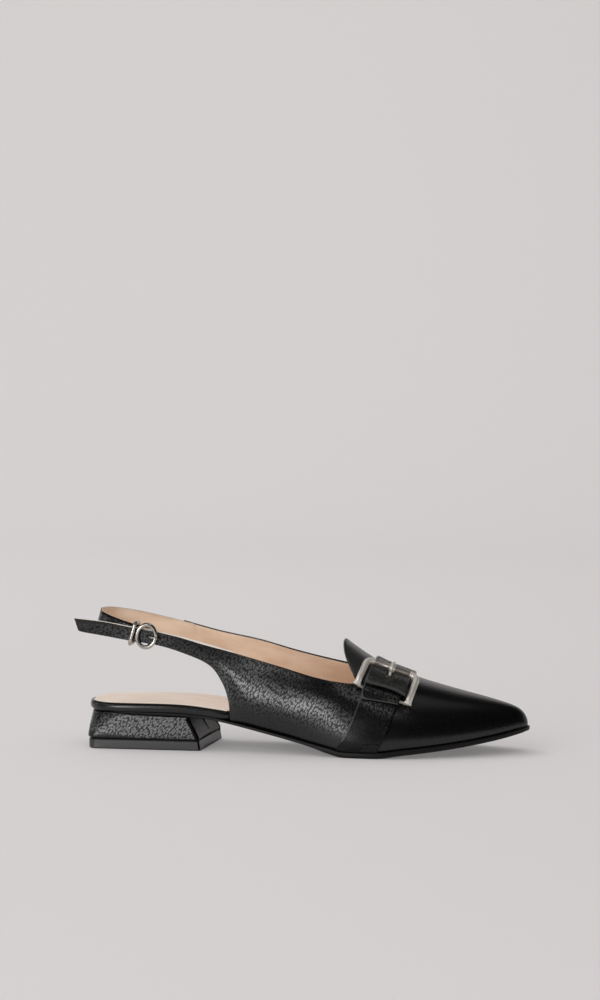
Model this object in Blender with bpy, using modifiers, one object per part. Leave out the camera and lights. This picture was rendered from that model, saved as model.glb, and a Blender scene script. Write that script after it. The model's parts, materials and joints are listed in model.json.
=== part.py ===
"""A flat slingback shoe for the right foot, laid up piece by piece as a shoemaker would.

Sizes are in millimetres in the shoe's own directions: x runs from the back of the heel seat to the toe,
y towards the inner (big toe) side of the foot and z up from the floor. MM turns them into metres.
A place on the last is given by x and by turn: 0 degrees at the outer feather line, 90 on the ridge of
the instep and 180 at the inner feather line.
"""

import math
from typing import NamedTuple

import bmesh
import bpy
import numpy as np
from mathutils import Matrix, Vector

MM = 0.001

# Driving dimensions
LAST_LENGTH = 260.1
SEAT_GAP = 0.3
SOLE_MARGIN = 1.2
SEAT_INSET = 2.0
TAIL_END = 72.0
TAIL_START = 96.0
UPPER_WALL = 1.8
UPPER_LIFT = 0.45
FEATHER_TUCK = 0.8
TUCK_HEIGHT = 2.0
BOARD_INSET = 0.8
SOCK_INSET = 1.6
SOCK_THICKNESS = 0.8
LIFT_HEIGHT = 5.7
HEEL_CORNER = 0.8
BREAST_HOLLOW = 1.2
QUARTER_BACK = 89.8
BOARD_STEP_BACK = 87.2
BOARD_STEP_FRONT = 88.9
STRAP_STRAIGHT = 50.0
SLING_WIDTH = 7.6
SLING_THICKNESS = 1.2
BAND_THICKNESS = 0.8
STRAP_THICKNESS = 1.6

# The large buckle on the instep
FRAME_CORNER = 4.5
FRAME_RADIUS = 1.95
FOOT_NECK_RADIUS = 1.99
FOOT_RADIUS = 2.65
FOOT_ABOVE = 1.0
FOOT_BELOW = 0.6
PIN_RADIUS = 0.8
PIN_RISE = 2.1
FOLD_REACH = 5.5
PRONG_RADIUS = 0.9
PRONG_ROOT_X = 181.8
PRONG_ROOT_TURN = 49.0
PRONG_ROOT_RISE = 1.35

# The small buckle on the sling strap
RING_X = 40.0
RING_Z = 66.8
RING_SLOPE = 9.0
RING_LEAN = 12.0
RING_HALF_LENGTH = 5.6
RING_HALF_HEIGHT = 6.6
RING_RADIUS = 1.0
BAR_RADIUS = 0.9
BAR_DEPTH = 5.9
BAR_CORNER = 1.6
SMALL_PRONG_RADIUS = 0.7
SLING_RETURN = 6.0
KEEPER_X = 31.6
KEEPER_SLANT = 3.8
KEEPER_HALF_HEIGHT = 6.4
KEEPER_DEPTH = 9.8
KEEPER_RADIUS = 1.1
KEEPER_CORNER = 2.0

# How finely the curves are divided
OUTLINE_STEPS = 30
BALL_BREAKS = (142.0, 147.0, 152.0, 156.0, 160.0, 178.0, 184.0, 190.0)
SIDE_ROWS = 8
TONGUE_STEPS = 11
VAMP_COLUMNS = 20
BAND_COLUMNS = 5
BAND_STEPS = 12
STRAP_TIP_STEPS = 14
STRAP_SIDE_STEPS = 17
WRAP_STEPS = 6
CORNER_STEPS = 5
RING_STEPS = 24
SLING_COLUMNS = 34


class Outline(NamedTuple):
    """Plan of the feather line at x: its middle and half its width."""
    x: float
    centre: float
    half_width: float


FEATHER_ROWS = (
    Outline(0.0, 0.0, 0.0),
    Outline(2.4, 0.0, 15.0),
    Outline(8.0, 0.0, 22.6),
    Outline(18.0, 0.0, 26.4),
    Outline(32.0, 0.0, 28.0),
    Outline(50.0, 0.0, 28.3),
    Outline(72.0, -0.2, 27.6),
    Outline(95.0, -1.8, 26.6),
    Outline(120.0, -4.6, 27.6),
    Outline(145.0, -5.6, 32.9),
    Outline(165.0, -4.9, 37.6),
    Outline(180.0, -3.9, 39.0),
    Outline(195.0, -2.6, 37.9),
    Outline(210.0, -1.0, 34.2),
    Outline(225.0, 0.7, 28.6),
    Outline(240.0, 2.5, 20.7),
    Outline(251.0, 3.7, 13.2),
    Outline(257.0, 4.3, 7.4),
    Outline(LAST_LENGTH, 4.5, 0.0),
)


class Profile(NamedTuple):
    """Heights at x: under and over the outsole, and the top of the insole board."""
    x: float
    sole_bottom: float
    sole_top: float
    board_top: float


PROFILE_ROWS = (
    Profile(0.0, 21.3, 21.7, 26.7),
    Profile(14.0, 21.2, 21.7, 27.0),
    Profile(30.0, 20.3, 21.7, 27.2),
    Profile(50.0, 19.7, 21.7, 27.3),
    Profile(66.0, 19.2, 21.2, 26.7),
    Profile(78.0, 18.0, 19.8, 25.1),
    Profile(90.0, 15.9, 17.7, 23.2),
    Profile(108.0, 12.0, 14.0, 18.4),
    Profile(127.0, 7.9, 9.9, 13.8),
    Profile(139.0, 5.2, 7.4, 11.0),
    Profile(151.0, 1.6, 4.9, 8.2),
    Profile(160.0, 0.0, 3.3, 6.7),
    Profile(178.0, 0.0, 3.3, 6.7),
    Profile(192.0, 1.8, 5.1, 8.2),
    Profile(209.0, 3.6, 6.8, 9.9),
    Profile(225.0, 5.7, 8.8, 11.9),
    Profile(246.0, 9.3, 12.2, 15.3),
    Profile(262.0, 13.2, 15.8, 18.6),
)


class Ridge(NamedTuple):
    """The ridge of the last at x: its y, its height over the feather line and how full its sections are.

    A fullness of 1 makes an ellipse, and less makes a squarer section.
    """
    x: float
    y: float
    height: float
    fullness: float


RIDGE_ROWS = (
    Ridge(-10.0, 0.0, 98.0, 0.50),
    Ridge(50.0, 1.0, 92.0, 0.52),
    Ridge(90.0, 2.0, 83.0, 0.72),
    Ridge(110.0, 2.5, 78.0, 0.82),
    Ridge(130.0, 3.0, 70.3, 0.87),
    Ridge(141.0, 3.0, 65.2, 0.89),
    Ridge(152.0, 3.0, 59.9, 0.90),
    Ridge(161.0, 3.0, 54.8, 0.90),
    Ridge(167.0, 3.0, 50.6, 0.90),
    Ridge(174.0, 3.0, 46.9, 0.90),
    Ridge(182.0, 3.0, 43.3, 0.91),
    Ridge(196.0, 3.2, 36.3, 0.92),
    Ridge(208.0, 3.4, 31.8, 0.93),
    Ridge(220.0, 3.6, 27.2, 0.94),
    Ridge(232.0, 3.9, 22.6, 0.95),
    Ridge(244.0, 4.2, 17.4, 0.97),
    Ridge(251.0, 4.3, 13.8, 0.98),
    Ridge(256.0, 4.4, 10.0, 1.0),
    Ridge(LAST_LENGTH, 4.5, 0.0, 1.0),
)


class Topline(NamedTuple):
    """Height of the shoe's top edge at x on the outer and the inner side."""
    x: float
    outer: float
    inner: float


TOPLINE_ROWS = (
    Topline(-4.0, 76.2, 76.2),
    Topline(12.0, 74.7, 75.0),
    Topline(30.0, 71.6, 74.2),
    Topline(45.0, 69.3, 72.3),
    Topline(60.0, 66.0, 68.6),
    Topline(72.0, 62.6, 65.8),
    Topline(97.0, 56.3, 61.4),
    Topline(120.0, 50.4, 55.6),
    Topline(143.0, 44.4, 50.2),
    Topline(155.0, 42.4, 47.8),
    Topline(168.0, 41.0, 46.0),
)


class Rib(NamedTuple):
    """A line across a quarter: its foot at low_x, on the feather line or at low_z, and its top at top_x."""
    low_x: float
    low_z: float
    top_x: float


OUTER_RIBS = (
    Rib(158.0, 0.0, 165.5),
    Rib(143.0, 0.0, 152.0),
    Rib(127.0, 0.0, 137.0),
    Rib(112.0, 0.0, 122.0),
    Rib(99.0, 0.0, 109.0),
    Rib(QUARTER_BACK, 0.0, 99.0),
    Rib(89.4, 24.0, 94.5),
    Rib(88.5, 30.5, 90.5),
    Rib(86.8, 36.3, 87.0),
    Rib(84.0, 42.0, 83.0),
    Rib(79.0, 49.0, 77.5),
    Rib(72.0, 53.2, 71.0),
    Rib(63.0, 56.6, 62.5),
    Rib(54.0, 59.6, 54.0),
    Rib(45.0, 61.7, 45.0),
    Rib(30.0, 63.7, 30.0),
    Rib(14.0, 66.3, 13.0),
    Rib(-1.5, 68.6, -3.8),
)
INNER_RIBS = (
    Rib(150.0, 0.0, 160.0),
    Rib(136.0, 0.0, 147.0),
    Rib(122.0, 0.0, 133.0),
    Rib(109.0, 0.0, 120.0),
    Rib(98.0, 0.0, 109.0),
    Rib(QUARTER_BACK, 0.0, 99.5),
    Rib(89.4, 24.5, 95.0),
    Rib(88.4, 30.5, 91.0),
    Rib(86.6, 36.5, 87.0),
    Rib(83.6, 42.0, 82.5),
    Rib(78.5, 47.5, 77.0),
    Rib(71.5, 51.2, 70.5),
    Rib(62.0, 54.8, 61.5),
    Rib(55.0, 57.0, 55.0),
    Rib(49.5, 58.4, 49.5),
)
RIB_STEPS = 2


class TongueEdge(NamedTuple):
    """x of the tongue's free edge, by its share of the way from the outer to the inner throat corner."""
    share: float
    x: float


TONGUE_ROWS = (
    TongueEdge(0.0, 165.5),
    TongueEdge(0.13, 163.0),
    TongueEdge(0.21, 159.6),
    TongueEdge(0.32, 156.0),
    TongueEdge(0.53, 152.2),
    TongueEdge(0.72, 153.2),
    TongueEdge(0.86, 156.0),
    TongueEdge(1.0, 160.0),
)


class BandEdge(NamedTuple):
    """x of the instep band's edges at each turn: a common back edge, and the fronts of band and strap."""
    turn: float
    back: float
    band_front: float
    strap_front: float


BAND_ROWS = (
    BandEdge(0.0, 154.4, 178.8, 178.8),
    BandEdge(7.0, 160.0, 182.6, 182.6),
    BandEdge(15.0, 163.4, 185.2, 185.2),
    BandEdge(25.0, 166.2, 187.2, 188.0),
    BandEdge(40.0, 168.6, 190.2, 192.4),
    BandEdge(60.0, 170.2, 191.0, 192.7),
    BandEdge(90.0, 170.5, 191.0, 192.7),
    BandEdge(115.0, 169.5, 190.0, 191.4),
    BandEdge(140.0, 165.5, 188.0, 188.0),
    BandEdge(165.0, 158.5, 182.0, 182.0),
    BandEdge(180.0, 153.0, 176.0, 176.0),
)


class LayerEnd(NamedTuple):
    """Turns at which the fold of the band and the tip of the strap end, by share from back to front."""
    share: float
    fold: float
    tip: float


LAYER_END_ROWS = (
    LayerEnd(0.0, 33.5, 45.0),
    LayerEnd(0.5, 36.0, 46.8),
    LayerEnd(0.8, 36.5, 45.2),
    LayerEnd(1.0, 36.0, 42.5),
)


class LayerRise(NamedTuple):
    """Height of the strap's middle over the vamp at each turn, from its tip on the fold to the bar."""
    turn: float
    rise: float


STRAP_RISE_ROWS = (
    LayerRise(42.0, 5.1),
    LayerRise(50.0, 5.2),
    LayerRise(54.0, 4.4),
    LayerRise(60.0, 3.2),
    LayerRise(66.0, 2.0),
    LayerRise(72.0, 1.7),
    LayerRise(130.0, 1.6),
    LayerRise(180.0, 1.2),
)


class BuckleCorner(NamedTuple):
    """A corner of the large buckle: its place on the last and its height over it."""
    x: float
    turn: float
    rise: float


BACK_FOOT = BuckleCorner(165.1, 42.4, 3.4)
BACK_BAR = BuckleCorner(167.0, 67.2, 5.2)
FRONT_BAR = BuckleCorner(196.5, 68.4, 5.2)
FRONT_FOOT = BuckleCorner(194.7, 37.6, 3.4)


class Sling(NamedTuple):
    """Top edge of the sling strap, from the inner quarter round the heel to the small buckle."""
    x: float
    y: float
    z: float
    lean: float
    width: float


SLING_ROWS = (
    Sling(58.0, 24.7, 68.9, 1.5, 12.6),
    Sling(47.0, 24.8, 71.6, 2.5, 12.0),
    Sling(36.0, 24.3, 74.1, 5.0, 11.2),
    Sling(24.0, 21.9, 76.8, 9.0, 10.0),
    Sling(14.0, 16.6, 79.0, 12.0, 8.8),
    Sling(8.0, 9.0, 80.2, 14.0, 8.0),
    Sling(6.0, 0.0, 80.4, 15.0, SLING_WIDTH),
    Sling(8.2, -9.0, 79.4, 14.0, SLING_WIDTH),
    Sling(14.2, -16.2, 77.8, 11.0, SLING_WIDTH),
    Sling(22.0, -20.2, 75.6, 7.0, SLING_WIDTH),
    Sling(30.0, -21.6, 73.4, 3.0, SLING_WIDTH),
    Sling(38.0, -21.4, 71.4, 0.0, SLING_WIDTH),
)


class ProngStep(NamedTuple):
    """A bend of the small buckle's prong, from the ring's middle: along the strap and out from it."""
    forward: float
    out: float


SMALL_PRONG_ROWS = (
    ProngStep(0.5, -3.9),
    ProngStep(0.7, -2.3),
    ProngStep(1.3, -0.4),
    ProngStep(2.7, 1.25),
    ProngStep(4.9, 2.1),
    ProngStep(6.5, 2.1),
    ProngStep(7.3, 1.8),
)


class HeelLevel(NamedTuple):
    """A level of the heel: its share of the way up, its back, front and half its width, and its back's round.

    The round goes so far along the side, and is an oval at power 1 and squarer at a lower power.
    """
    rise: float
    back: float
    front: float
    half_width: float
    round_length: float
    round_power: float


HEEL_LEVELS = (
    HeelLevel(0.0, 2.6, 70.6, 28.2, 10.5, 0.5),
    HeelLevel(0.07, 1.8, 71.2, 29.1, 10.5, 0.5),
    HeelLevel(0.20, 1.8, 70.6, 29.2, 11.5, 0.5),
    HeelLevel(0.50, 1.9, 68.2, 28.2, 15.0, 0.56),
    HeelLevel(0.80, 2.0, 65.8, 27.2, 21.0, 0.65),
    HeelLevel(1.0, 2.1, 64.3, 26.6, 26.0, 0.72),
)
LIFT_LEVELS = (
    HeelLevel(0.0, 2.8, 71.9, 28.7, 10.5, 0.5),
    HeelLevel(0.12, 2.4, 72.2, 29.2, 10.5, 0.5),
    HeelLevel(0.90, 2.4, 71.4, 28.9, 10.5, 0.5),
    HeelLevel(1.0, 2.9, 71.0, 28.4, 10.5, 0.5),
)


class EdgeStep(NamedTuple):
    """A step of a layer's side: how far in it lies and its share of the thickness."""
    inset: float
    rise: float


SOLE_EDGE = (EdgeStep(0.5, 0.0), EdgeStep(0.0, 0.2), EdgeStep(0.0, 0.85), EdgeStep(0.4, 1.0))
BOARD_EDGE = (
    EdgeStep(1.2, 0.0),
    EdgeStep(0.25, 0.15),
    EdgeStep(0.0, 0.5),
    EdgeStep(0.35, 0.85),
    EdgeStep(1.3, 1.0),
)
SOCK_EDGE = (EdgeStep(0.0, 0.0), EdgeStep(0.0, 0.6), EdgeStep(0.4, 1.0))


class Finish(NamedTuple):
    """Colour and surface of a piece."""
    colour: tuple
    roughness: float
    metallic: float


PEBBLED_LEATHER = Finish((0.012, 0.012, 0.013), 0.45, 0.0)
SMOOTH_LEATHER = Finish((0.010, 0.010, 0.011), 0.35, 0.0)
SOLE_LEATHER = Finish((0.020, 0.019, 0.019), 0.55, 0.0)
RUBBER = Finish((0.030, 0.029, 0.028), 0.60, 0.0)
SOCK_LEATHER = Finish((0.66, 0.54, 0.46), 0.55, 0.0)
NICKEL = Finish((0.62, 0.59, 0.55), 0.18, 1.0)


class Table:
    """Smooth curves through a table's rows, each later column against the first, with no overshoot."""

    def __init__(self, rows, warp=float):
        self.warp = warp
        knots = np.array([warp(row[0]) for row in rows])
        order = np.argsort(knots)
        self.knots = knots[order]
        self.values = np.array(rows, dtype=float)[order]
        self.columns = rows[0]._fields
        self.slopes = self.level_slopes()

    def level_slopes(self):
        """Slopes at the rows: a weighted mean of the neighbouring chords, or none at a peak."""
        widths = np.diff(self.knots)[:, None]
        chords = np.diff(self.values, axis=0) / widths
        slopes = np.zeros_like(self.values)
        slopes[0] = chords[0]
        slopes[-1] = chords[-1]
        before = 2 * widths[1:] + widths[:-1]
        after = widths[1:] + 2 * widths[:-1]
        same_way = chords[:-1] * chords[1:] > 0
        left = np.where(same_way, chords[:-1], 1.0)
        right = np.where(same_way, chords[1:], 1.0)
        mean = (before + after) / (before / left + after / right)
        slopes[1:-1] = np.where(same_way, mean, 0.0)
        return slopes

    def at(self, column, value):
        """The column's height on its curve at a value of the first column."""
        place = min(max(self.warp(value), self.knots[0]), self.knots[-1])
        row = min(max(int(np.searchsorted(self.knots, place)) - 1, 0), len(self.knots) - 2)
        width = self.knots[row + 1] - self.knots[row]
        t = (place - self.knots[row]) / width
        index = self.columns.index(column)
        low, high = self.values[row, index], self.values[row + 1, index]
        low_slope, high_slope = self.slopes[row, index] * width, self.slopes[row + 1, index] * width
        bend = (1 + 2 * t) * (1 - t) ** 2 * low + t * t * (3 - 2 * t) * high
        return bend + t * (1 - t) ** 2 * low_slope - t * t * (1 - t) * high_slope


def station_of(x):
    """Share of the way round the outline: even steps of it crowd towards heel and toe."""
    return math.acos(1 - 2 * min(max(x / LAST_LENGTH, 0.0), 1.0)) / math.pi


def x_of(station):
    """x at a share of the way round the outline."""
    return LAST_LENGTH * (1 - math.cos(math.pi * station)) / 2


def toe_root(x):
    """Root of the distance from the toe, in which a round nose is a straight line."""
    return math.sqrt(max(LAST_LENGTH - x, 0.0))


FEATHER = Table(FEATHER_ROWS, station_of)
PROFILE = Table(PROFILE_ROWS)
RIDGE = Table(RIDGE_ROWS, toe_root)
TOPLINE = Table(TOPLINE_ROWS)
TONGUE = Table(TONGUE_ROWS)
BAND = Table(BAND_ROWS)
LAYER_END = Table(LAYER_END_ROWS)
STRAP_RISE = Table(STRAP_RISE_ROWS)


def blend(low, high, share):
    """Value or point at a share of the way from low to high."""
    return low + (high - low) * share


def ease(low, high, value):
    """Smooth step from 0 at low to 1 at high."""
    share = min(max((value - low) / (high - low), 0.0), 1.0)
    return share * share * (3 - 2 * share)


# The last

def feather_height(x):
    """Height of the upper's lower edge."""
    return PROFILE.at("sole_top", x) + UPPER_LIFT


def skin(x, turn):
    """Point on the outside of the upper."""
    side = -1 if turn <= 90 else 1
    plan_x = max(x, STRAP_STRAIGHT)
    half_width = FEATHER.at("half_width", plan_x)
    edge = FEATHER.at("centre", plan_x) + side * half_width
    fullness = RIDGE.at("fullness", x)
    spread = abs(math.cos(math.radians(turn))) ** fullness
    lift = abs(math.sin(math.radians(turn))) ** fullness
    foot = feather_height(x)
    z = foot + RIDGE.at("height", x) * lift
    y = blend(RIDGE.at("y", x), edge, spread)
    tuck = min(FEATHER_TUCK, half_width / 10) * math.exp((foot - z) / TUCK_HEIGHT)
    return np.array((x, y - side * tuck, z))


def turn_at(x, z, side):
    """Turn at which the upper reaches the height z."""
    foot = feather_height(x)
    lift = min(max((z - foot) / RIDGE.at("height", x), 0.0), 1.0)
    turn = math.degrees(math.asin(lift ** (1 / RIDGE.at("fullness", x))))
    return turn if side < 0 else 180 - turn


def outward(x, turn):
    """Unit normal of the upper, away from the foot."""
    step = 0.5
    low = max(turn - step, 0.0)
    high = min(turn + step, 180.0)
    along = skin(x + step, turn) - skin(x - step, turn)
    across = skin(x, high) - skin(x, low)
    normal = np.cross(along, across)
    return normal / np.linalg.norm(normal)


def over_skin(x, turn, height):
    """Point at a height over the upper."""
    return skin(x, turn) + outward(x, turn) * height


# Making objects

def clear_scene():
    """Remove every object of the open scene."""
    for found in list(bpy.data.objects):
        bpy.data.objects.remove(found, do_unlink=True)


def new_collection(name):
    """A collection linked to the scene."""
    collection = bpy.data.collections.new(name)
    bpy.context.scene.collection.children.link(collection)
    return collection


def new_material(name, finish):
    """A plain Principled material."""
    material = bpy.data.materials.new(name)
    material.use_nodes = True
    shader = material.node_tree.nodes["Principled BSDF"]
    shader.inputs["Base Color"].default_value = (*finish.colour, 1.0)
    shader.inputs["Roughness"].default_value = finish.roughness
    shader.inputs["Metallic"].default_value = finish.metallic
    return material


class Workshop:
    """Makes the shoe's objects under one empty and keeps cutters apart."""

    def __init__(self, name):
        self.parts = new_collection(name)
        self.tools = new_collection(f"{name}_cutters")
        self.root = bpy.data.objects.new(f"{name}_root", None)
        self.parts.objects.link(self.root)

    def place(self, name, mesh, finish):
        """Link a mesh as a named part with a material of its own."""
        mesh.name = name
        mesh.materials.clear()
        mesh.materials.append(new_material(name, finish))
        mesh.shade_smooth()
        mesh.set_sharp_from_angle(angle=math.radians(40))
        part = bpy.data.objects.new(name, mesh)
        part.parent = self.root
        self.parts.objects.link(part)
        return part

    def tool(self, name, mesh):
        """Link a mesh as a hidden helper for a Boolean."""
        helper = bpy.data.objects.new(name, mesh)
        helper.parent = self.root
        helper.hide_render = True
        helper.display_type = "WIRE"
        self.tools.objects.link(helper)
        return helper

    def boolean(self, part, helper, operation):
        """Cut a helper from a part or join it to it."""
        modifier = part.modifiers.new(helper.name, "BOOLEAN")
        modifier.operation = operation
        modifier.object = helper
        modifier.solver = "EXACT"

    def centre(self):
        """Bring the middle of the shoe's box over the origin, with the floor at zero."""
        bpy.context.view_layer.update()
        graph = bpy.context.evaluated_depsgraph_get()
        corners = []
        for part in self.root.children:
            if part.hide_render:
                continue
            evaluated = part.evaluated_get(graph)
            corners += [evaluated.matrix_world @ vertex.co for vertex in evaluated.data.vertices]
        low_x, high_x = min(c.x for c in corners), max(c.x for c in corners)
        low_y, high_y = min(c.y for c in corners), max(c.y for c in corners)
        self.root.location = (-(low_x + high_x) / 2, -(low_y + high_y) / 2, 0.0)


def to_mesh(shape, name):
    """Close a bmesh in millimetres and give it as a mesh in metres."""
    bmesh.ops.scale(shape, vec=(MM, MM, MM), verts=shape.verts)
    mesh = bpy.data.meshes.new(name)
    shape.to_mesh(mesh)
    shape.free()
    return mesh


def stack_mesh(name, rings):
    """Closed solid through rings from bottom to top, each running round from the middle of the back."""
    shape = bmesh.new()
    levels = [[shape.verts.new(point) for point in ring] for ring in rings]
    count = len(levels[0])
    half = count // 2
    for lower, upper in zip(levels, levels[1:]):
        for k in range(count):
            following = (k + 1) % count
            shape.faces.new((lower[k], lower[following], upper[following], upper[k]))
    for level in (levels[0], levels[-1]):
        for k in range(half):
            corners = (level[k], level[k + 1], level[-k - 1], level[-k % count])
            shape.faces.new(dict.fromkeys(corners))
    bmesh.ops.recalc_face_normals(shape, faces=shape.faces)
    return to_mesh(shape, name)


def sheet_mesh(name, patches):
    """Open surface of point grids that share their seams; a grid is read row by row."""
    shape = bmesh.new()
    for grid in patches:
        rows = [[shape.verts.new(point) for point in row] for row in grid]
        for lower, upper in zip(rows, rows[1:]):
            for k in range(len(lower) - 1):
                shape.faces.new((lower[k], lower[k + 1], upper[k + 1], upper[k]))
    bmesh.ops.remove_doubles(shape, verts=shape.verts, dist=0.01)
    bmesh.ops.dissolve_degenerate(shape, edges=shape.edges, dist=0.001)
    return to_mesh(shape, name)


def thicken(part, thickness, offset):
    """Give an open surface a wall, inwards at offset -1 and both ways at 0."""
    wall = part.modifiers.new("wall", "SOLIDIFY")
    wall.thickness = thickness * MM
    wall.offset = offset
    wall.use_even_offset = True
    wall.use_quality_normals = True


def wire_mesh(name, points, radius, cyclic=False, sides=2):
    """Round wire along points, as a closed mesh."""
    path = bpy.data.curves.new(name, "CURVE")
    path.dimensions = "3D"
    path.bevel_depth = radius * MM
    path.bevel_resolution = sides
    path.use_fill_caps = not cyclic
    spline = path.splines.new("POLY")
    spline.points.add(len(points) - 1)
    for control, point in zip(spline.points, points):
        control.co = (*(np.asarray(point) * MM), 1.0)
    spline.use_cyclic_u = cyclic
    guide = bpy.data.objects.new(name, path)
    bpy.context.scene.collection.objects.link(guide)
    graph = bpy.context.evaluated_depsgraph_get()
    mesh = bpy.data.meshes.new_from_object(guide.evaluated_get(graph))
    bpy.data.objects.remove(guide, do_unlink=True)
    bpy.data.curves.remove(path)
    shape = bmesh.new()
    shape.from_mesh(mesh)
    bmesh.ops.remove_doubles(shape, verts=shape.verts, dist=1e-6)
    bmesh.ops.recalc_face_normals(shape, faces=shape.faces)
    shape.to_mesh(mesh)
    shape.free()
    return mesh


def cone_mesh(name, start, end, start_radius, end_radius, sides=14):
    """Cone or cylinder between two points."""
    axis = Vector(end) - Vector(start)
    turn = axis.to_track_quat("Z", "Y").to_matrix().to_4x4()
    middle = Matrix.Translation((Vector(start) + Vector(end)) / 2)
    shape = bmesh.new()
    bmesh.ops.create_cone(
        shape,
        cap_ends=True,
        segments=sides,
        radius1=start_radius,
        radius2=end_radius,
        depth=axis.length,
        matrix=middle @ turn,
    )
    return to_mesh(shape, name)


# Sole, board, sock and heel

def outline_base(place):
    """Point of the feather line: place 0 to 1 runs up the outer side to the toe, 1 to 2 down the inner."""
    place %= 2
    station = place if place <= 1 else 2 - place
    side = -1 if place <= 1 else 1
    x = x_of(station)
    return np.array((x, FEATHER.at("centre", x) + side * FEATHER.at("half_width", x)))


def outline_ring(margin_at, height_at, breaks=()):
    """Ring round the foot: the feather line moved out by a margin, at a height, both by x."""
    step = 0.002
    bends = {station_of(x) for x in (*BALL_BREAKS, *breaks)}
    half = sorted({k / OUTLINE_STEPS for k in range(1, OUTLINE_STEPS)} | bends)
    places = [0.0, *half, 1.0, *[2 - place for place in reversed(half)]]
    ring = []
    for place in places:
        point = outline_base(place)
        along = outline_base(place + step) - outline_base(place - step)
        away = np.array((along[1], -along[0])) / np.linalg.norm(along)
        x, y = point + away * margin_at(point[0])
        ring.append((x, y, height_at(x)))
    return ring


def layer_mesh(name, margin_at, bottom_at, top_at, edge, breaks=()):
    """A layer of the sole with a stepped edge between its lower and upper faces."""
    rings = []
    for row in edge:
        rings.append(outline_ring(
            lambda x, row=row: margin_at(x) - row.inset,
            lambda x, row=row: blend(bottom_at(x), top_at(x), row.rise),
            breaks,
        ))
    return stack_mesh(name, rings)


def wall_inset(x):
    """How far the board lies inside the feather line: under the upper's wall in front of the quarters."""
    covered = FEATHER_TUCK + UPPER_WALL + UPPER_LIFT
    return blend(BOARD_INSET, covered, ease(BOARD_STEP_BACK, BOARD_STEP_FRONT, x))


def build_outsole(shop):
    """Thin sole, flat under the ball, with an arch, a toe spring and a tail under the heel seat."""
    mesh = layer_mesh(
        "outsole",
        lambda x: blend(-SEAT_INSET, SOLE_MARGIN, ease(TAIL_END, TAIL_START, x)),
        lambda x: PROFILE.at("sole_bottom", x),
        lambda x: PROFILE.at("sole_top", x),
        SOLE_EDGE,
    )
    shop.place("outsole", mesh, SOLE_LEATHER)


def build_board(shop):
    """Insole board whose wrapped edge shows at the open heel."""
    mesh = layer_mesh(
        "insole_board",
        lambda x: -wall_inset(x),
        lambda x: PROFILE.at("sole_top", x) + SEAT_GAP,
        lambda x: PROFILE.at("board_top", x),
        BOARD_EDGE,
        (BOARD_STEP_BACK, BOARD_STEP_FRONT),
    )
    shop.place("insole_board", mesh, SMOOTH_LEATHER)


def build_sock(shop):
    """Sock of thin leather over the board."""
    mesh = layer_mesh(
        "insole",
        lambda x: -wall_inset(x) - SOCK_INSET + BOARD_INSET,
        lambda x: PROFILE.at("board_top", x) + SEAT_GAP,
        lambda x: PROFILE.at("board_top", x) + SEAT_GAP + SOCK_THICKNESS,
        SOCK_EDGE,
        (BOARD_STEP_BACK, BOARD_STEP_FRONT),
    )
    shop.place("insole", mesh, SOCK_LEATHER)


def heel_ring(level, height_at):
    """Ring round the heel: a round back, straight sides and a slightly hollow breast."""
    arc_steps = 9
    side_steps = 4
    half_way = 0.5
    half_way_hollow = 0.7 * BREAST_HOLLOW
    side_back = level.back + level.round_length
    side_front = level.front - HEEL_CORNER
    half = []
    for k in range(arc_steps + 1):
        angle = math.pi / 2 * k / arc_steps
        x = level.back + level.round_length * (1 - abs(math.cos(angle)) ** level.round_power)
        half.append((x, level.half_width * math.sin(angle) ** level.round_power))
    for k in range(1, side_steps + 1):
        half.append((blend(side_back, side_front, k / side_steps), level.half_width))
    half.append((level.front, level.half_width - HEEL_CORNER))
    half.append((level.front - half_way_hollow, level.half_width * half_way))
    half.append((level.front - BREAST_HOLLOW, 0.0))
    outer = [(x, -y, height_at(x)) for x, y in half]
    inner = [(x, y, height_at(x)) for x, y in reversed(half[1:-1])]
    return outer + inner


def build_heel(shop):
    """Covered heel block that follows the sole above, on a rubber lift."""
    def seat(x):
        return PROFILE.at("sole_bottom", x) - SEAT_GAP

    foot = LIFT_HEIGHT + SEAT_GAP
    block = [heel_ring(row, lambda x, row=row: blend(foot, seat(x), row.rise)) for row in HEEL_LEVELS]
    shop.place("heel_block", stack_mesh("heel_block", block), PEBBLED_LEATHER)
    lift = [heel_ring(row, lambda x, row=row: LIFT_HEIGHT * row.rise) for row in LIFT_LEVELS]
    shop.place("heel_top_lift", stack_mesh("heel_top_lift", lift), RUBBER)


# Upper

def quarter_grid(ribs, side):
    """Grid of a quarter from the throat back, by rows from its lower to its upper edge."""
    columns = ("number", "low_x", "low_z", "top_x")
    numbered = NamedTuple("NumberedRib", [(name, float) for name in columns])
    table = Table([numbered(number, *rib) for number, rib in enumerate(ribs)])
    column = "outer" if side < 0 else "inner"
    grid = [[] for _ in range(SIDE_ROWS + 1)]
    steps = (len(ribs) - 1) * RIB_STEPS
    for k in range(steps + 1):
        number = k / RIB_STEPS
        low_x = table.at("low_x", number)
        top_x = table.at("top_x", number)
        low_turn = turn_at(low_x, table.at("low_z", number), side)
        top_turn = turn_at(top_x, TOPLINE.at(column, top_x), side)
        for i, row in enumerate(grid):
            share = i / SIDE_ROWS
            row.append(skin(blend(low_x, top_x, share), blend(low_turn, top_turn, share)))
    return grid


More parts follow.
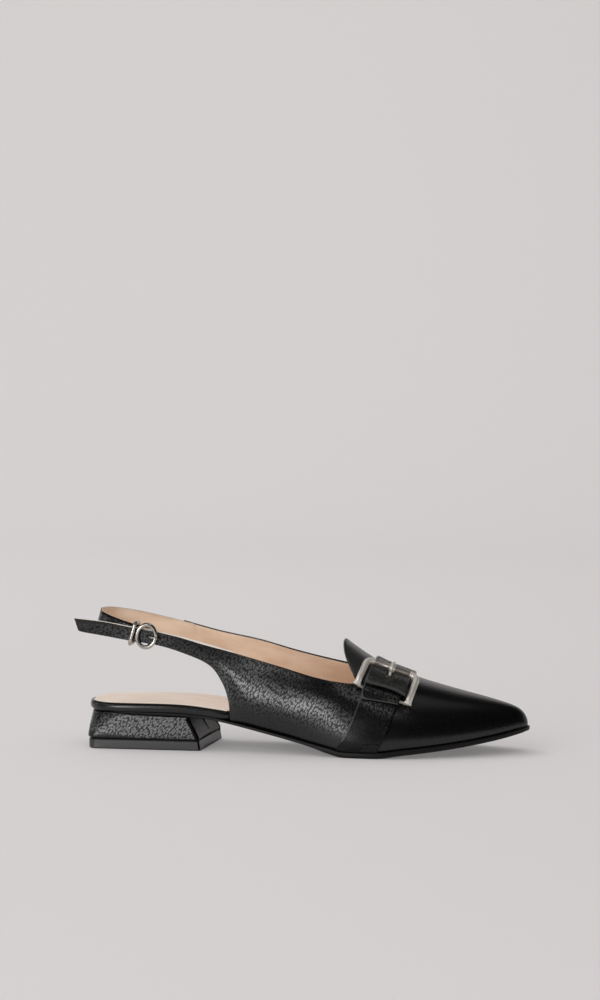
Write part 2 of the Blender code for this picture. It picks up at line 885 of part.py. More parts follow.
def throat_line():
    """Start of the vamp: x and turn from the outer feather line over the tongue to the inner one."""
    outer, inner = OUTER_RIBS[0], INNER_RIBS[0]
    outer_turn = turn_at(outer.top_x, TOPLINE.at("outer", outer.top_x), -1)
    inner_turn = turn_at(inner.top_x, TOPLINE.at("inner", inner.top_x), 1)
    line = []
    for i in range(SIDE_ROWS):
        share = i / SIDE_ROWS
        line.append((blend(outer.low_x, outer.top_x, share), outer_turn * share))
    for i in range(TONGUE_STEPS):
        share = i / TONGUE_STEPS
        line.append((TONGUE.at("x", share), blend(outer_turn, inner_turn, share)))
    for i in range(SIDE_ROWS + 1):
        share = i / SIDE_ROWS
        line.append((blend(inner.top_x, inner.low_x, share), blend(inner_turn, 180.0, share)))
    return line


def build_upper(shop):
    """Vamp with tongue, both quarters and the outer strap as one hollow wall."""
    vamp = []
    for x, turn in throat_line():
        start = station_of(x)
        vamp.append([skin(x_of(blend(start, 1.0, k / VAMP_COLUMNS)), turn) for k in range(VAMP_COLUMNS + 1)])
    outer = [row[::-1] for row in quarter_grid(OUTER_RIBS, -1)]
    inner = quarter_grid(INNER_RIBS, 1)
    mesh = sheet_mesh("upper", (vamp, outer, inner))
    upper = shop.place("upper", mesh, PEBBLED_LEATHER)
    thicken(upper, UPPER_WALL, -1.0)
    return upper


# Instep band, strap and large buckle

def lay_over_vamp(path_at, front):
    """Grid over the vamp between the back edge and a front edge, along a path of turns and heights."""
    columns = []
    for k in range(BAND_COLUMNS + 1):
        share = k / BAND_COLUMNS
        column = []
        for turn, height in path_at(share):
            x = blend(BAND.at("back", turn), BAND.at(front, turn), share)
            column.append(over_skin(x, turn, height))
        columns.append(column)
    return [list(row) for row in zip(*columns)]


def pin_turn(share):
    """Turn of the buckle's pin at a share of the band's width."""
    x = blend(BAND.at("back", BACK_FOOT.turn), BAND.at("band_front", FRONT_FOOT.turn), share)
    return blend(BACK_FOOT.turn, FRONT_FOOT.turn, (x - BACK_FOOT.x) / (FRONT_FOOT.x - BACK_FOOT.x))


def fold_path(share):
    """The band from the outer feather line up past the pin, round it and down over itself."""
    low = SEAT_GAP + BAND_THICKNESS / 2
    high = PIN_RISE + PIN_RADIUS + SEAT_GAP + BAND_THICKNESS / 2
    end = low + BAND_THICKNESS + SEAT_GAP
    pin = pin_turn(share)
    degree = np.linalg.norm(skin(PRONG_ROOT_X, pin + 0.5) - skin(PRONG_ROOT_X, pin - 0.5))
    reach = FOLD_REACH / degree
    path = [(turn, low) for turn in np.linspace(0.0, pin, BAND_STEPS, endpoint=False)]
    for angle in np.linspace(-math.pi / 2, math.pi / 2, WRAP_STEPS + 1):
        path.append((pin + reach * math.cos(angle), blend(low, high, (1 + math.sin(angle)) / 2)))
    for step in np.linspace(0.0, 1.0, WRAP_STEPS)[1:]:
        path.append((blend(pin, LAYER_END.at("fold", share), step), blend(high, end, step)))
    return path


def strap_path(share):
    """The strap from its tip on the fold, under the bar and over the instep to the inner feather line."""
    ridge = 80.0
    foot = 179.4
    tip = np.linspace(LAYER_END.at("tip", share), ridge, STRAP_TIP_STEPS, endpoint=False)
    side = np.linspace(ridge, foot, STRAP_SIDE_STEPS)
    return [(turn, STRAP_RISE.at("rise", turn)) for turn in (*tip, *side)]


def build_band(shop):
    """Outer band, folded round the buckle's pin."""
    grid = lay_over_vamp(fold_path, "band_front")
    band = shop.place("vamp_band", sheet_mesh("vamp_band", [grid]), PEBBLED_LEATHER)
    thicken(band, BAND_THICKNESS, 0.0)


def build_strap(shop):
    """Inner strap over the instep, under the buckle's bar and over its pin to a cut tip."""
    grid = lay_over_vamp(strap_path, "strap_front")
    strap = shop.place("vamp_strap", sheet_mesh("vamp_strap", [grid]), PEBBLED_LEATHER)
    thicken(strap, STRAP_THICKNESS, 0.0)
    return strap


def unit(vector):
    """The vector at length one."""
    return vector / np.linalg.norm(vector)


def longer(points):
    """The path with both ends drawn out by a seat's gap."""
    start = points[0] + unit(points[0] - points[1]) * SEAT_GAP
    end = points[-1] + unit(points[-1] - points[-2]) * SEAT_GAP
    return [start, *points[1:-1], end]


def rounded_path(corners, radius, cyclic=False):
    """Points along straight runs with rounded corners."""
    count = len(corners)
    points = [] if cyclic else [corners[0]]
    for k in range(count) if cyclic else range(1, count - 1):
        corner = corners[k]
        before = corner + unit(corners[k - 1] - corner) * radius
        after = corner + unit(corners[(k + 1) % count] - corner) * radius
        for share in np.linspace(0.0, 1.0, CORNER_STEPS + 1):
            points.append(blend(blend(before, corner, share), blend(corner, after, share), share))
    return points if cyclic else [*points, corners[-1]]


def build_large_buckle(shop, strap):
    """Open frame with flared feet, its pin, and the prong through the strap."""
    corners = [over_skin(*corner) for corner in (BACK_FOOT, BACK_BAR, FRONT_BAR, FRONT_FOOT)]
    back_foot, back_bar, front_bar, front_foot = corners
    path = rounded_path(corners, FRAME_CORNER)
    bow = wire_mesh("vamp_buckle_frame", path, FRAME_RADIUS, sides=3)
    frame = shop.place("vamp_buckle_frame", bow, NICKEL)
    for name, foot, top in (("back_foot", back_foot, back_bar), ("front_foot", front_foot, front_bar)):
        leg = unit(top - foot)
        start = foot + leg * FOOT_ABOVE
        end = foot - leg * FOOT_BELOW
        flare = cone_mesh(name, start, end, FOOT_NECK_RADIUS, FOOT_RADIUS)
        shop.boolean(frame, shop.tool(name, flare), "UNION")
    along = unit(front_foot - back_foot)
    bar = blend(back_bar, front_bar, 0.5)
    to_bar = bar - blend(back_foot, front_foot, 0.5)
    up = unit(to_bar - along * np.dot(to_bar, along))
    face = np.cross(along, up)
    sink = face * (BACK_FOOT.rise - PIN_RISE)
    pin_start = back_foot + along * (FOOT_RADIUS + SEAT_GAP) - sink
    pin_end = front_foot - along * (FOOT_RADIUS + SEAT_GAP) - sink
    pin = cone_mesh("vamp_buckle_pin", pin_start, pin_end, PIN_RADIUS, PIN_RADIUS)
    shop.place("vamp_buckle_pin", pin, NICKEL)
    around = FRAME_RADIUS + PRONG_RADIUS + SEAT_GAP
    prong = [over_skin(PRONG_ROOT_X, PRONG_ROOT_TURN, PRONG_ROOT_RISE)]
    for angle in np.radians(np.linspace(200.0, -20.0, 11)):
        prong.append(bar + (up * math.cos(angle) + face * math.sin(angle)) * around)
    shop.place("vamp_buckle_prong", wire_mesh("vamp_buckle_prong", prong, PRONG_RADIUS), NICKEL)
    clearance = wire_mesh("prong_clearance", longer(prong), PRONG_RADIUS + SEAT_GAP)
    shop.boolean(strap, shop.tool("prong_clearance", clearance), "DIFFERENCE")


# Sling strap and small buckle

def small_buckle_axes():
    """Middle of the small ring, and its directions: along the strap, up and away from the foot."""
    slope = math.radians(RING_SLOPE)
    along = np.array((math.cos(slope), 0.0, -math.sin(slope)))
    up = np.array((0.0, 0.0, 1.0))
    away = np.array((0.0, -1.0, 0.0))
    strap = skin(RING_X, turn_at(RING_X, RING_Z, -1))
    return strap + away * (SEAT_GAP * 1.5 + RING_RADIUS), along, up, away


def sling_path():
    """Rows of the sling strap from the inner quarter to its end folded round the small buckle's bar."""
    corners = np.array([row[:3] for row in SLING_ROWS])
    lengths = np.concatenate(([0.0], np.cumsum(np.linalg.norm(np.diff(corners, axis=0), axis=1))))
    measured = NamedTuple("Measured", [("at", float), *((column, float) for column in Sling._fields)])
    table = Table([measured(length, *row) for length, row in zip(lengths, SLING_ROWS)])
    path = []
    for at in np.linspace(0.0, lengths[-1], SLING_COLUMNS):
        path.append(Sling(*(table.at(column, at) for column in Sling._fields)))
    end = path[-1]
    centre, along, _, away = small_buckle_axes()
    bar = centre - away * BAR_DEPTH
    around = BAR_RADIUS + SEAT_GAP + SLING_THICKNESS / 2
    slope = along[2] / along[0]
    turns = [(around * math.cos(angle), around * math.sin(angle))
             for angle in np.linspace(math.pi / 2, -math.pi / 2, WRAP_STEPS + 1)]
    for forward, inwards in (*turns, (-SLING_RETURN, -around)):
        x = bar[0] + forward
        path.append(Sling(x, bar[1] + inwards, end.z + slope * (x - end.x), 0.0, SLING_WIDTH))
    return path


def build_sling(shop):
    """Strap round the heel, leaning in at its top edge."""
    path = sling_path()
    top = [np.array(row[:3]) for row in path]
    bottom = []
    for k, row in enumerate(path):
        following = top[min(k + 1, len(top) - 1)]
        before = top[max(k - 1, 0)]
        along = unit((following - before) * (1.0, 1.0, 0.0))
        tilt = math.radians(row.lean)
        fall = np.array((along[1] * math.sin(tilt), -along[0] * math.sin(tilt), -math.cos(tilt)))
        bottom.append(top[k] + fall * row.width)
    sling = shop.place("sling_strap", sheet_mesh("sling_strap", [[top, bottom]]), SMOOTH_LEATHER)
    thicken(sling, SLING_THICKNESS, 0.0)
    return sling


def build_small_buckle(shop, upper, sling):
    """Oval ring with a set-back bar, a prong through both straps and a slanting keeper."""
    centre, along, up, away = small_buckle_axes()
    ring = []
    lean = math.radians(RING_LEAN)
    for angle in np.linspace(0.0, 2 * math.pi, RING_STEPS, endpoint=False):
        across = RING_HALF_LENGTH * math.cos(angle)
        high = RING_HALF_HEIGHT * math.sin(angle)
        forward = across * math.cos(lean) + high * math.sin(lean)
        ring.append(centre + (forward, 0.0, high * math.cos(lean) - across * math.sin(lean)))
    ring_mesh = wire_mesh("sling_buckle_frame", ring, RING_RADIUS, cyclic=True)
    frame = shop.place("sling_buckle_frame", ring_mesh, NICKEL)
    top = centre + up * RING_HALF_HEIGHT
    bottom = centre - up * RING_HALF_HEIGHT
    back = away * -BAR_DEPTH
    bar = rounded_path([top, top + back, bottom + back, bottom], BAR_CORNER)
    shop.boolean(frame, shop.tool("ring_bar", wire_mesh("ring_bar", bar, BAR_RADIUS)), "UNION")
    prong = []
    for row in SMALL_PRONG_ROWS:
        prong.append(centre + along * row.forward + away * row.out)
    prong_mesh = wire_mesh("sling_buckle_prong", prong, SMALL_PRONG_RADIUS)
    shop.place("sling_buckle_prong", prong_mesh, NICKEL)
    clearance = wire_mesh("small_prong_clearance", longer(prong), SMALL_PRONG_RADIUS + SEAT_GAP)
    drill = shop.tool("small_prong_clearance", clearance)
    shop.boolean(upper, drill, "DIFFERENCE")
    shop.boolean(sling, drill, "DIFFERENCE")
    keeper_z = RING_Z + (RING_X - KEEPER_X) * math.tan(math.radians(RING_SLOPE))
    middle = np.array((KEEPER_X, centre[1], keeper_z))
    rise = np.array((KEEPER_SLANT / 2, 0.0, KEEPER_HALF_HEIGHT))
    depth = away * -KEEPER_DEPTH
    corners = [middle + rise, middle + rise + depth, middle - rise + depth, middle - rise]
    loop = rounded_path(corners, KEEPER_CORNER, cyclic=True)
    keeper = wire_mesh("sling_buckle_keeper", loop, KEEPER_RADIUS, cyclic=True)
    shop.place("sling_buckle_keeper", keeper, NICKEL)


def build_all():
    """Build every piece of the shoe and set it over the origin."""
    clear_scene()
    shop = Workshop("slingback")
    build_outsole(shop)
    build_board(shop)
    build_sock(shop)
    build_heel(shop)
    upper = build_upper(shop)
    build_band(shop)
    strap = build_strap(shop)
    build_large_buckle(shop, strap)
    sling = build_sling(shop)
    build_small_buckle(shop, upper, sling)
    shop.centre()


build_all()
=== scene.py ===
"""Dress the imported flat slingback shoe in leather, lining and nickel, and set it in a pale studio.

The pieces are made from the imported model's own nodes: a node's mesh is welded, brought back to four-sided
faces and taken as the cage of a smooth piece, or gives the places that a new piece is built through.

Sizes are in metres, written as millimetres times MM. Places along the shoe and heights above the floor are
plain millimetres, which shoe() and forward() turn into the scene's own coordinates.
"""

import json
import logging
import math
from abc import ABC, abstractmethod
from dataclasses import dataclass
from enum import Enum
from typing import Any, Optional, Sequence, Union

import bmesh
import bpy
from mathutils import Matrix, Quaternion, Vector
from mathutils.bvhtree import BVHTree

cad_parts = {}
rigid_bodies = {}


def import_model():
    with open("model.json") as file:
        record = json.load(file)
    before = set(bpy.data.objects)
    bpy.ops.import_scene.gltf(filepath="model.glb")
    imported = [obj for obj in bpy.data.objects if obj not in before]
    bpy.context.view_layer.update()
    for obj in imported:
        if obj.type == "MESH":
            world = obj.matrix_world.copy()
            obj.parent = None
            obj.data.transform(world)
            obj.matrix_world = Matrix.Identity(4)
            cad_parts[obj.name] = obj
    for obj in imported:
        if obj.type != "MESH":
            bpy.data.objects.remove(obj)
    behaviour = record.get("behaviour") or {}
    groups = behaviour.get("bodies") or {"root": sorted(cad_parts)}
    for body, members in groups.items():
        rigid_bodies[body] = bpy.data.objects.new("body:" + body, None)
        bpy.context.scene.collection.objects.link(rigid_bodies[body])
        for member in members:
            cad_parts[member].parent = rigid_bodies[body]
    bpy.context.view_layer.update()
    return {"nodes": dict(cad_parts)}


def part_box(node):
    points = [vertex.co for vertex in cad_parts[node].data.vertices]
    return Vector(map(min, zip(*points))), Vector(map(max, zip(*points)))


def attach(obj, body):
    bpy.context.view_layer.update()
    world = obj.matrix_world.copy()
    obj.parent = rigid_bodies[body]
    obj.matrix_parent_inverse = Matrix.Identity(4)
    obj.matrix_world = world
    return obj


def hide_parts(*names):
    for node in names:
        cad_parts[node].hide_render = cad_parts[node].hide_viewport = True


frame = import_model()

LOG = logging.getLogger("slingback")
MM = 0.001
BODY = "root"
WELD = 1e-6
SHARP_ANGLE = 50.0
CELL_JITTER = 0.9
FACING_BLEND = 0.02
ROUND_SEGMENTS = 28
ROUND_EDGE = 0.22 * MM
QUAD = 4
BACKWARDS = Vector((-1.0, 0.0, 0.0))
MIX_LOW, MIX_HIGH, MIX_COLOUR = 6, 7, 2

Colour = tuple[float, float, float]


def shoe_origin() -> Vector:
    """Where the back of the heel seat stands over the floor, read from the heel's lift.

    Returns:
        The shoe's origin.
    """
    lift_setback = 2.4 * MM
    low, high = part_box("heel_top_lift")
    return Vector((low.x - lift_setback, (low.y + high.y) / 2, 0.0))


ORIGIN = shoe_origin()


def shoe(x: float, y: float, z: float) -> Vector:
    """A point given in millimetres from the heel, along the shoe, inwards and up."""
    return ORIGIN + Vector((x, y, z)) * MM


def forward(distance: float) -> float:
    """Scene X of a distance from the heel in millimetres."""
    return shoe(distance, 0.0, 0.0).x


def measured(place: Vector) -> Vector:
    """A place in millimetres of the shoe: from the heel, inwards and up."""
    return (place - ORIGIN) / MM


def smooth_share(low: float, high: float, value: float) -> float:
    """Smooth step from 0 at low to 1 at high."""
    share = min(max((value - low) / (high - low), 0.0), 1.0)
    return share * share * (3.0 - 2.0 * share)


class Slot(Enum):
    """Material slots of the record."""

    SOLE = "sole_leather"
    BOARD = "board_leather"
    SOCK = "sock_leather"
    HEEL = "heel_leather"
    LIFT = "lift_rubber"
    UPPER = "upper_leather"
    STRAP = "strap_leather"
    BAND = "band_leather"
    LINING = "lining_leather"
    METAL = "buckle_metal"


class Side(Enum):
    """Which face of a wall a sheet is taken from."""

    OUTER = 1
    INNER = -1


class Role(Enum):
    """What a lamp does: light the room, or only shine in glossy surfaces."""

    ROOM = "room"
    SHINE = "shine"


# Shader maths


class Wire:
    """A number on its way through a material, which takes part in Python sums."""

    def __init__(self, sheet: "ShaderSheet", socket: bpy.types.NodeSocket) -> None:
        """Keep the socket and the material that it belongs to."""
        self.sheet = sheet
        self.socket = socket

    def _sum(self, operation: str, left: "Value", right: "Value") -> "Wire":
        """Add a Math node on two values."""
        return self.sheet.node("ShaderNodeMath", {"operation": operation}, {0: left, 1: right})

    def __add__(self, other: "Value") -> "Wire":
        """This plus other."""
        return self._sum("ADD", self, other)

    __radd__ = __add__

    def __sub__(self, other: "Value") -> "Wire":
        """This less other."""
        return self._sum("SUBTRACT", self, other)

    def __rsub__(self, other: "Value") -> "Wire":
        """Other less this."""
        return self._sum("SUBTRACT", other, self)

    def __mul__(self, other: "Value") -> "Wire":
        """This times other."""
        return self._sum("MULTIPLY", self, other)

    __rmul__ = __mul__

    def rise(self, low: float, high: float) -> "Wire":
        """Smooth step from 0 where this is low to 1 where it is high.

        Args:
            low: The value at which the step begins.
            high: The value at which it ends.

        Returns:
            The step.
        """
        settings = {"interpolation_type": "SMOOTHSTEP"}
        sockets = {"Value": self, "From Min": low, "From Max": high}
        return self.sheet.node("ShaderNodeMapRange", settings, sockets)


Value = Union[Wire, float]


class ShaderSheet:
    """One material's nodes."""

    def __init__(self, name: str) -> None:
        """Start a material with the usual shader.

        Args:
            name: The material's name.
        """
        self.material = bpy.data.materials.new(name)
        self.material.use_nodes = True
        self.tree = self.material.node_tree
        self.surface = self.tree.nodes["Principled BSDF"]

    def node(
        self,
        kind: str,
        settings: Optional[dict[str, Any]] = None,
        sockets: Optional[dict[Union[str, int], Any]] = None,
        output: Union[str, int] = 0,
    ) -> Wire:
        """Add a node.

        Args:
            kind: Blender's name of the node's type.
            settings: The node's own settings, which are set first.
            sockets: Values or wires of its inputs, by name or number.
            output: The output to go on with.

        Returns:
            The output as a wire.
        """
        made = self.tree.nodes.new(kind)
        for name, value in (settings or {}).items():
            setattr(made, name, value)
        for key, value in (sockets or {}).items():
            self.plug(made.inputs[key], value)
        return Wire(self, made.outputs[output])

    def plug(self, socket: bpy.types.NodeSocket, value: Any) -> None:
        """Set an input to a number, colour or vector, or link a wire to it.

        Args:
            socket: The input.
            value: What it is set to, or the wire.
        """
        if isinstance(value, Wire):
            self.tree.links.new(value.socket, socket)
        else:
            socket.default_value = value

    def set(self, **values: Any) -> None:
        """Set or feed the surface's sockets, named with underscores for spaces."""
        for name, value in values.items():
            self.plug(self.surface.inputs[name.replace("_", " ").title().replace("Ior", "IOR")], value)

    def place(self) -> Wire:
        """Object coordinates in metres."""
        return self.node("ShaderNodeTexCoord", output="Object")

    def axis(self, vector: Wire, name: str) -> Wire:
        """One part of a vector."""
        return self.node("ShaderNodeSeparateXYZ", None, {0: vector}, name)

    def attribute(self, name: str) -> Wire:
        """A number kept on the mesh's points."""
        return self.node("ShaderNodeAttribute", {"attribute_name": name}, None, "Fac")

    def stretched(self, vector: Wire, turn: Sequence[float], size: Sequence[float]) -> Wire:
        """Coordinates in cells of a size, turned by angles in degrees.

        Args:
            vector: The coordinates.
            turn: Angles about the three axes.
            size: The cell along each axis.

        Returns:
            The coordinates, counted in cells.
        """
        angles = tuple(math.radians(angle) for angle in turn)
        sockets = {"Vector": vector, "Rotation": angles, "Scale": size}
        return self.node("ShaderNodeMapping", {"vector_type": "TEXTURE"}, sockets)

    def noise(
        self, vector: Wire, scale: float = 1.0, detail: float = 2.0, output: Union[str, int] = 0
    ) -> Wire:
        """Soft noise from 0 to 1, or its colour."""
        sockets = {"Vector": vector, "Scale": scale, "Detail": detail}
        return self.node("ShaderNodeTexNoise", None, sockets, output)

    def cells(self, vector: Wire, dimensions: str = "3D") -> Wire:
        """Distance from the middles of cells one unit wide.

        Args:
            vector: The coordinates.
            dimensions: 2D or 3D cells.

        Returns:
            The distance.
        """
        settings = {"feature": "F1", "voronoi_dimensions": dimensions}
        sockets = {"Vector": vector, "Scale": 1.0, "Randomness": CELL_JITTER}
        return self.node("ShaderNodeTexVoronoi", settings, sockets, "Distance")

    def faced(self, place: Wire) -> Wire:
        """Flat coordinates across the way the surface faces, so that a pattern lies level on every side.

        Args:
            place: Object coordinates.

        Returns:
            Coordinates along and up the side that the surface faces.
        """
        normal = self.node("ShaderNodeNewGeometry", None, None, "Normal")
        facing = self.node("ShaderNodeVectorMath", {"operation": "ABSOLUTE"}, {0: normal})
        ahead, across, upwards = (self.axis(facing, name) for name in "XYZ")
        x, y, z = (self.axis(place, name) for name in "XYZ")
        blend = (-FACING_BLEND, FACING_BLEND)
        to_heel = (ahead - across).rise(*blend) * (ahead - upwards).rise(*blend)
        to_sky = (upwards - across).rise(*blend) * (upwards - ahead).rise(*blend)
        return self.node("ShaderNodeCombineXYZ", None, {0: x + (y - x) * to_heel, 1: z + (y - z) * to_sky})

    def shaken(self, vector: Wire, scale: float, amount: float) -> Wire:
        """Coordinates moved about by noise, so that a pattern is less even.

        Args:
            vector: The coordinates.
            scale: How fine the noise is.
            amount: How far it moves them.

        Returns:
            The moved coordinates.
        """
        colour = self.noise(vector, scale, detail=1.0, output="Color")
        grey = (0.5, 0.5, 0.5)
        shift = self.node("ShaderNodeVectorMath", {"operation": "SUBTRACT"}, {0: colour, 1: grey})
        scaled = self.node("ShaderNodeVectorMath", {"operation": "SCALE"}, {0: shift, "Scale": amount})
        return self.node("ShaderNodeVectorMath", {"operation": "ADD"}, {0: vector, 1: scaled})

    def mix(self, share: Value, low: Any, high: Any) -> Wire:
        """Colour at a share of the way from low to high.

        Args:
            share: From 0 to 1.
            low: The first colour or a wire.
            high: The other one.

        Returns:
            The colour.
        """
        low = low if isinstance(low, Wire) else (*low, 1.0)
        high = high if isinstance(high, Wire) else (*high, 1.0)
        sockets = {0: share, MIX_LOW: low, MIX_HIGH: high}
        return self.node("ShaderNodeMix", {"data_type": "RGBA"}, sockets, MIX_COLOUR)

    def relief(self, height: Wire, depth: float) -> None:
        """Bump the surface by a height from 0 to 1 times a depth in metres."""
        self.set(normal=self.node("ShaderNodeBump", None, {"Height": height, "Distance": depth}))


# Finishes


@dataclass(frozen=True)
class Finish(ABC):
    """A surface, made as a material once."""

    name: str

    @abstractmethod
    def dress(self, sheet: ShaderSheet) -> None:
        """Lay out the finish's nodes."""

    def material(self) -> bpy.types.Material:
        """The finish's material, made at its first use.

        Returns:
            The material.
        """
        full_name = f"{self.name}_finish"
        found = bpy.data.materials.get(full_name)
        if found:
            return found
        sheet = ShaderSheet(full_name)
        self.dress(sheet)
        return sheet.material


@dataclass(frozen=True)
class PebbledLeather(Finish):
    """Black leather with long pebbles that lie on a slant, calmer towards the toe and along its edges. Its
    colour holds painted shade in the grain's hollows, a painted sheen on the tongue and a painted highlight
    along chosen edges.
    """

    # Valley and crown colours: the grain's own tone, with painted shade darkening the valleys.
    valley: Colour = (0.0016, 0.0016, 0.0017)
    crown: Colour = (0.0048, 0.0048, 0.0049)
    calm_tone: float = 0.6
    # Lighter colour painted on the tongue as its sheen.
    tongue_sheen_tone: Colour = (0.024, 0.024, 0.0235)
    # Colour of the painted highlight along the edges that face the light.
    edge_highlight_tone: Colour = (0.06, 0.06, 0.058)
    pebble: tuple[float, float] = (2.1 * MM, 1.0 * MM)
    pebble_reach: float = 0.34
    slant: float = -58.0
    shake: float = 0.3
    shake_scale: float = 0.9
    fold: tuple[float, float, float] = (5.0 * MM, 3.0 * MM, 3.0 * MM)
    fold_share: float = 0.35
    fold_tone: float = 0.4
    pore_scale: float = 3200.0
    pore_share: float = 0.08
    depth: float = 0.08 * MM
    roughness: float = 0.27
    valley_dull: float = 0.25
    calm_dull: float = 0.06
    matt_rim: float = 0.0
    specular: float = 0.1
    gloss: float = 0.85
    valley_gloss: float = 0.2
    calm_gloss: float = 0.5
    coat: float = 1.7
    coat_roughness: float = 0.27
    calm: float = 0.0
    calm_grain: float = 0.12
    calm_toe: tuple[float, float] = (160.0, 186.0)
    calm_low: float = 0.0
    calm_height: float = 0.1
    calm_start: float = 91.0
    calm_fall: float = 0.0
    tongue_from: tuple[float, float] = (148.0, 156.0)
    tongue_above: tuple[float, float] = (43.0, 49.0)
    edge: float = 1.3 * MM
    groove: float = 0.0
    groove_inset: float = 1.6 * MM
    groove_depth: float = 2.0
    edge_highlight_width: float = 0.0

    def dress(self, sheet: ShaderSheet) -> None:
        """Round pebbles about the middles of their cells, over soft folds of the hide.

        Args:
            sheet: The material's nodes.
        """
        place = sheet.place()
        rim = sheet.attribute("rim")
        pebbles = self.pebbles(sheet, place)
        hide = sheet.noise(sheet.stretched(place, (0.0, self.slant, 0.0), self.fold))
        pores = sheet.noise(place, self.pore_scale, detail=1.0)
        along = sheet.axis(place, "X")
        up = sheet.axis(place, "Z")
        front = along.rise(*map(forward, self.calm_toe))
        tongue = along.rise(*map(forward, self.tongue_from)) * up.rise(*(z * MM for z in self.tongue_above))
        toe = 1 - (1 - front) * (1 - tongue)
        slope = up + (along - forward(self.calm_start)) * self.calm_fall
        raised = slope.rise(self.calm_low * MM, self.calm_height * MM)
        field = rim.rise(0.0, self.edge)
        strength = (1 - toe * self.calm) * field * (self.calm_grain + raised * (1.0 - self.calm_grain))
        height = pebbles * strength + hide * strength * self.fold_share + pores * self.pore_share
        if self.groove:
            off = rim - self.groove_inset
            height = height - (1 - (off * off).rise(0.0, self.groove * self.groove)) * self.groove_depth
        sheet.relief(height, self.depth)
        # Darker valleys and paler crowns: partly the grain's own tone, partly painted shade in its hollows.
        tone = pebbles * strength + (1 - strength) * self.calm_tone
        colour = sheet.mix(tone * (1.0 - self.fold_tone + hide * self.fold_tone), self.valley, self.crown)
        # Painted sheen: the tongue's colour is lifted to stand in for the soft sheen of the broad light on
        # it.
        if self.calm:
            colour = sheet.mix(tongue, colour, self.tongue_sheen_tone)
        # Painted highlight: a pale line along the edges in the attribute bright, as if they caught the light.
        if self.edge_highlight_width:
            line = 1 - sheet.attribute("bright").rise(self.edge_highlight_width / 2, self.edge_highlight_width)
            colour = sheet.mix(line, colour, self.edge_highlight_tone)
        crowns = (self.valley_gloss + pebbles * (1.0 - self.valley_gloss)) * self.gloss
        dull = (1 - pebbles) * strength * self.valley_dull + toe * self.calm * self.calm_dull
        sheet.set(
            base_color=colour,
            roughness=self.roughness + dull + (1 - field) * self.matt_rim,
            specular_ior_level=self.specular,
            coat_weight=self.calm_gloss + (crowns - self.calm_gloss) * strength,
            coat_roughness=self.coat_roughness,
            coat_ior=self.coat,
        )

    def pebbles(self, sheet: ShaderSheet, place: Wire) -> Wire:
        """Domes from 0 in the valleys to 1 on the crowns.

        Args:
            sheet: The material's nodes.
            place: Object coordinates.

        Returns:
            The domes' height.
        """
        flat = sheet.stretched(sheet.faced(place), (0.0, 0.0, -self.slant), (*self.pebble, MM))
        reach = sheet.cells(sheet.shaken(flat, self.shake_scale, self.shake), "2D")
        return 1 - (reach * reach).rise(0.0, self.pebble_reach)


@dataclass(frozen=True)
class SmoothLeather(Finish):
    """Black leather or painted edge with hardly any grain."""

    colour: Colour = (0.005, 0.005, 0.0051)
    roughness: float = 0.3
    depth: float = 0.06 * MM
    specular: float = 0.5
    pore_scale: float = 2600.0
    pore_dull: float = 0.08
    tone_scale: float = 120.0
    dark_share: float = 0.6

    def dress(self, sheet: ShaderSheet) -> None:
        """Fine pores and a slow change of tone.

        Args:
            sheet: The material's nodes.
        """
        place = sheet.place()
        pores = sheet.noise(place, self.pore_scale)
        slow = sheet.noise(place, self.tone_scale)
        darker = tuple(part * self.dark_share for part in self.colour)
        sheet.relief(pores * 0.5 + slow * 0.5, self.depth)
        sheet.set(
            base_color=sheet.mix(slow, darker, self.colour),
            roughness=self.roughness + pores * self.pore_dull,
            specular_ior_level=self.specular,
        )


@dataclass(frozen=True)
class LiningLeather(Finish):
    """Undyed lining leather with fine pores and a few paler and browner clouds."""

    pale: Colour = (0.86, 0.66, 0.50)
    deep: Colour = (0.68, 0.46, 0.31)
    roughness: float = 0.5
    depth: float = 0.05 * MM
    cloud: tuple[float, float, float] = (30.0 * MM, 12.0 * MM, 9.0 * MM)
    cloud_turn: float = 12.0
    cloud_edge: tuple[float, float] = (0.3, 0.7)
    pore: float = 0.7 * MM
    pore_edge: tuple[float, float] = (0.1, 0.6)
    fibre_scale: float = 1500.0
    fibre_tone: float = 0.2
    fibre_dull: float = 0.15

    def dress(self, sheet: ShaderSheet) -> None:
        """Clouds along the foot and pores.

        Args:
            sheet: The material's nodes.
        """
        place = sheet.place()
        clouds = sheet.noise(sheet.stretched(place, (0.0, self.cloud_turn, 0.0), self.cloud), detail=4.0)
        pores = sheet.cells(sheet.stretched(place, (0.0, 0.0, 0.0), (self.pore,) * 3)).rise(*self.pore_edge)
        fibre = sheet.noise(place, self.fibre_scale, detail=3.0)
        tone = clouds.rise(*self.cloud_edge) * (1.0 - self.fibre_tone) + fibre * self.fibre_tone
        sheet.relief(pores * 0.5 + fibre * 0.5, self.depth)
        sheet.set(
            base_color=sheet.mix(tone, self.deep, self.pale),
            roughness=self.roughness + fibre * self.fibre_dull,
        )


@dataclass(frozen=True)
class LiftRubber(Finish):
    """Dense black rubber of the heel's lift with faint running marks."""

    colour: Colour = (0.032, 0.032, 0.0322)
    roughness: float = 0.34
    depth: float = 0.03 * MM
    mark: tuple[float, float, float] = (14.0 * MM, 14.0 * MM, 0.9 * MM)
    mark_share: float = 0.6
    speckle_scale: float = 1800.0
    speckle_dull: float = 0.1
    dark_share: float = 0.7

    def dress(self, sheet: ShaderSheet) -> None:
        """Long marks along the lift and a fine speckle.

        Args:
            sheet: The material's nodes.
        """
        place = sheet.place()
        marks = sheet.noise(sheet.stretched(place, (0.0, 0.0, 0.0), self.mark), detail=3.0)
        speckle = sheet.noise(place, self.speckle_scale)
        darker = tuple(part * self.dark_share for part in self.colour)
        sheet.relief(marks * self.mark_share + speckle * (1.0 - self.mark_share), self.depth)
        sheet.set(
            base_color=sheet.mix(marks, darker, self.colour),
            roughness=self.roughness + speckle * self.speckle_dull,
        )


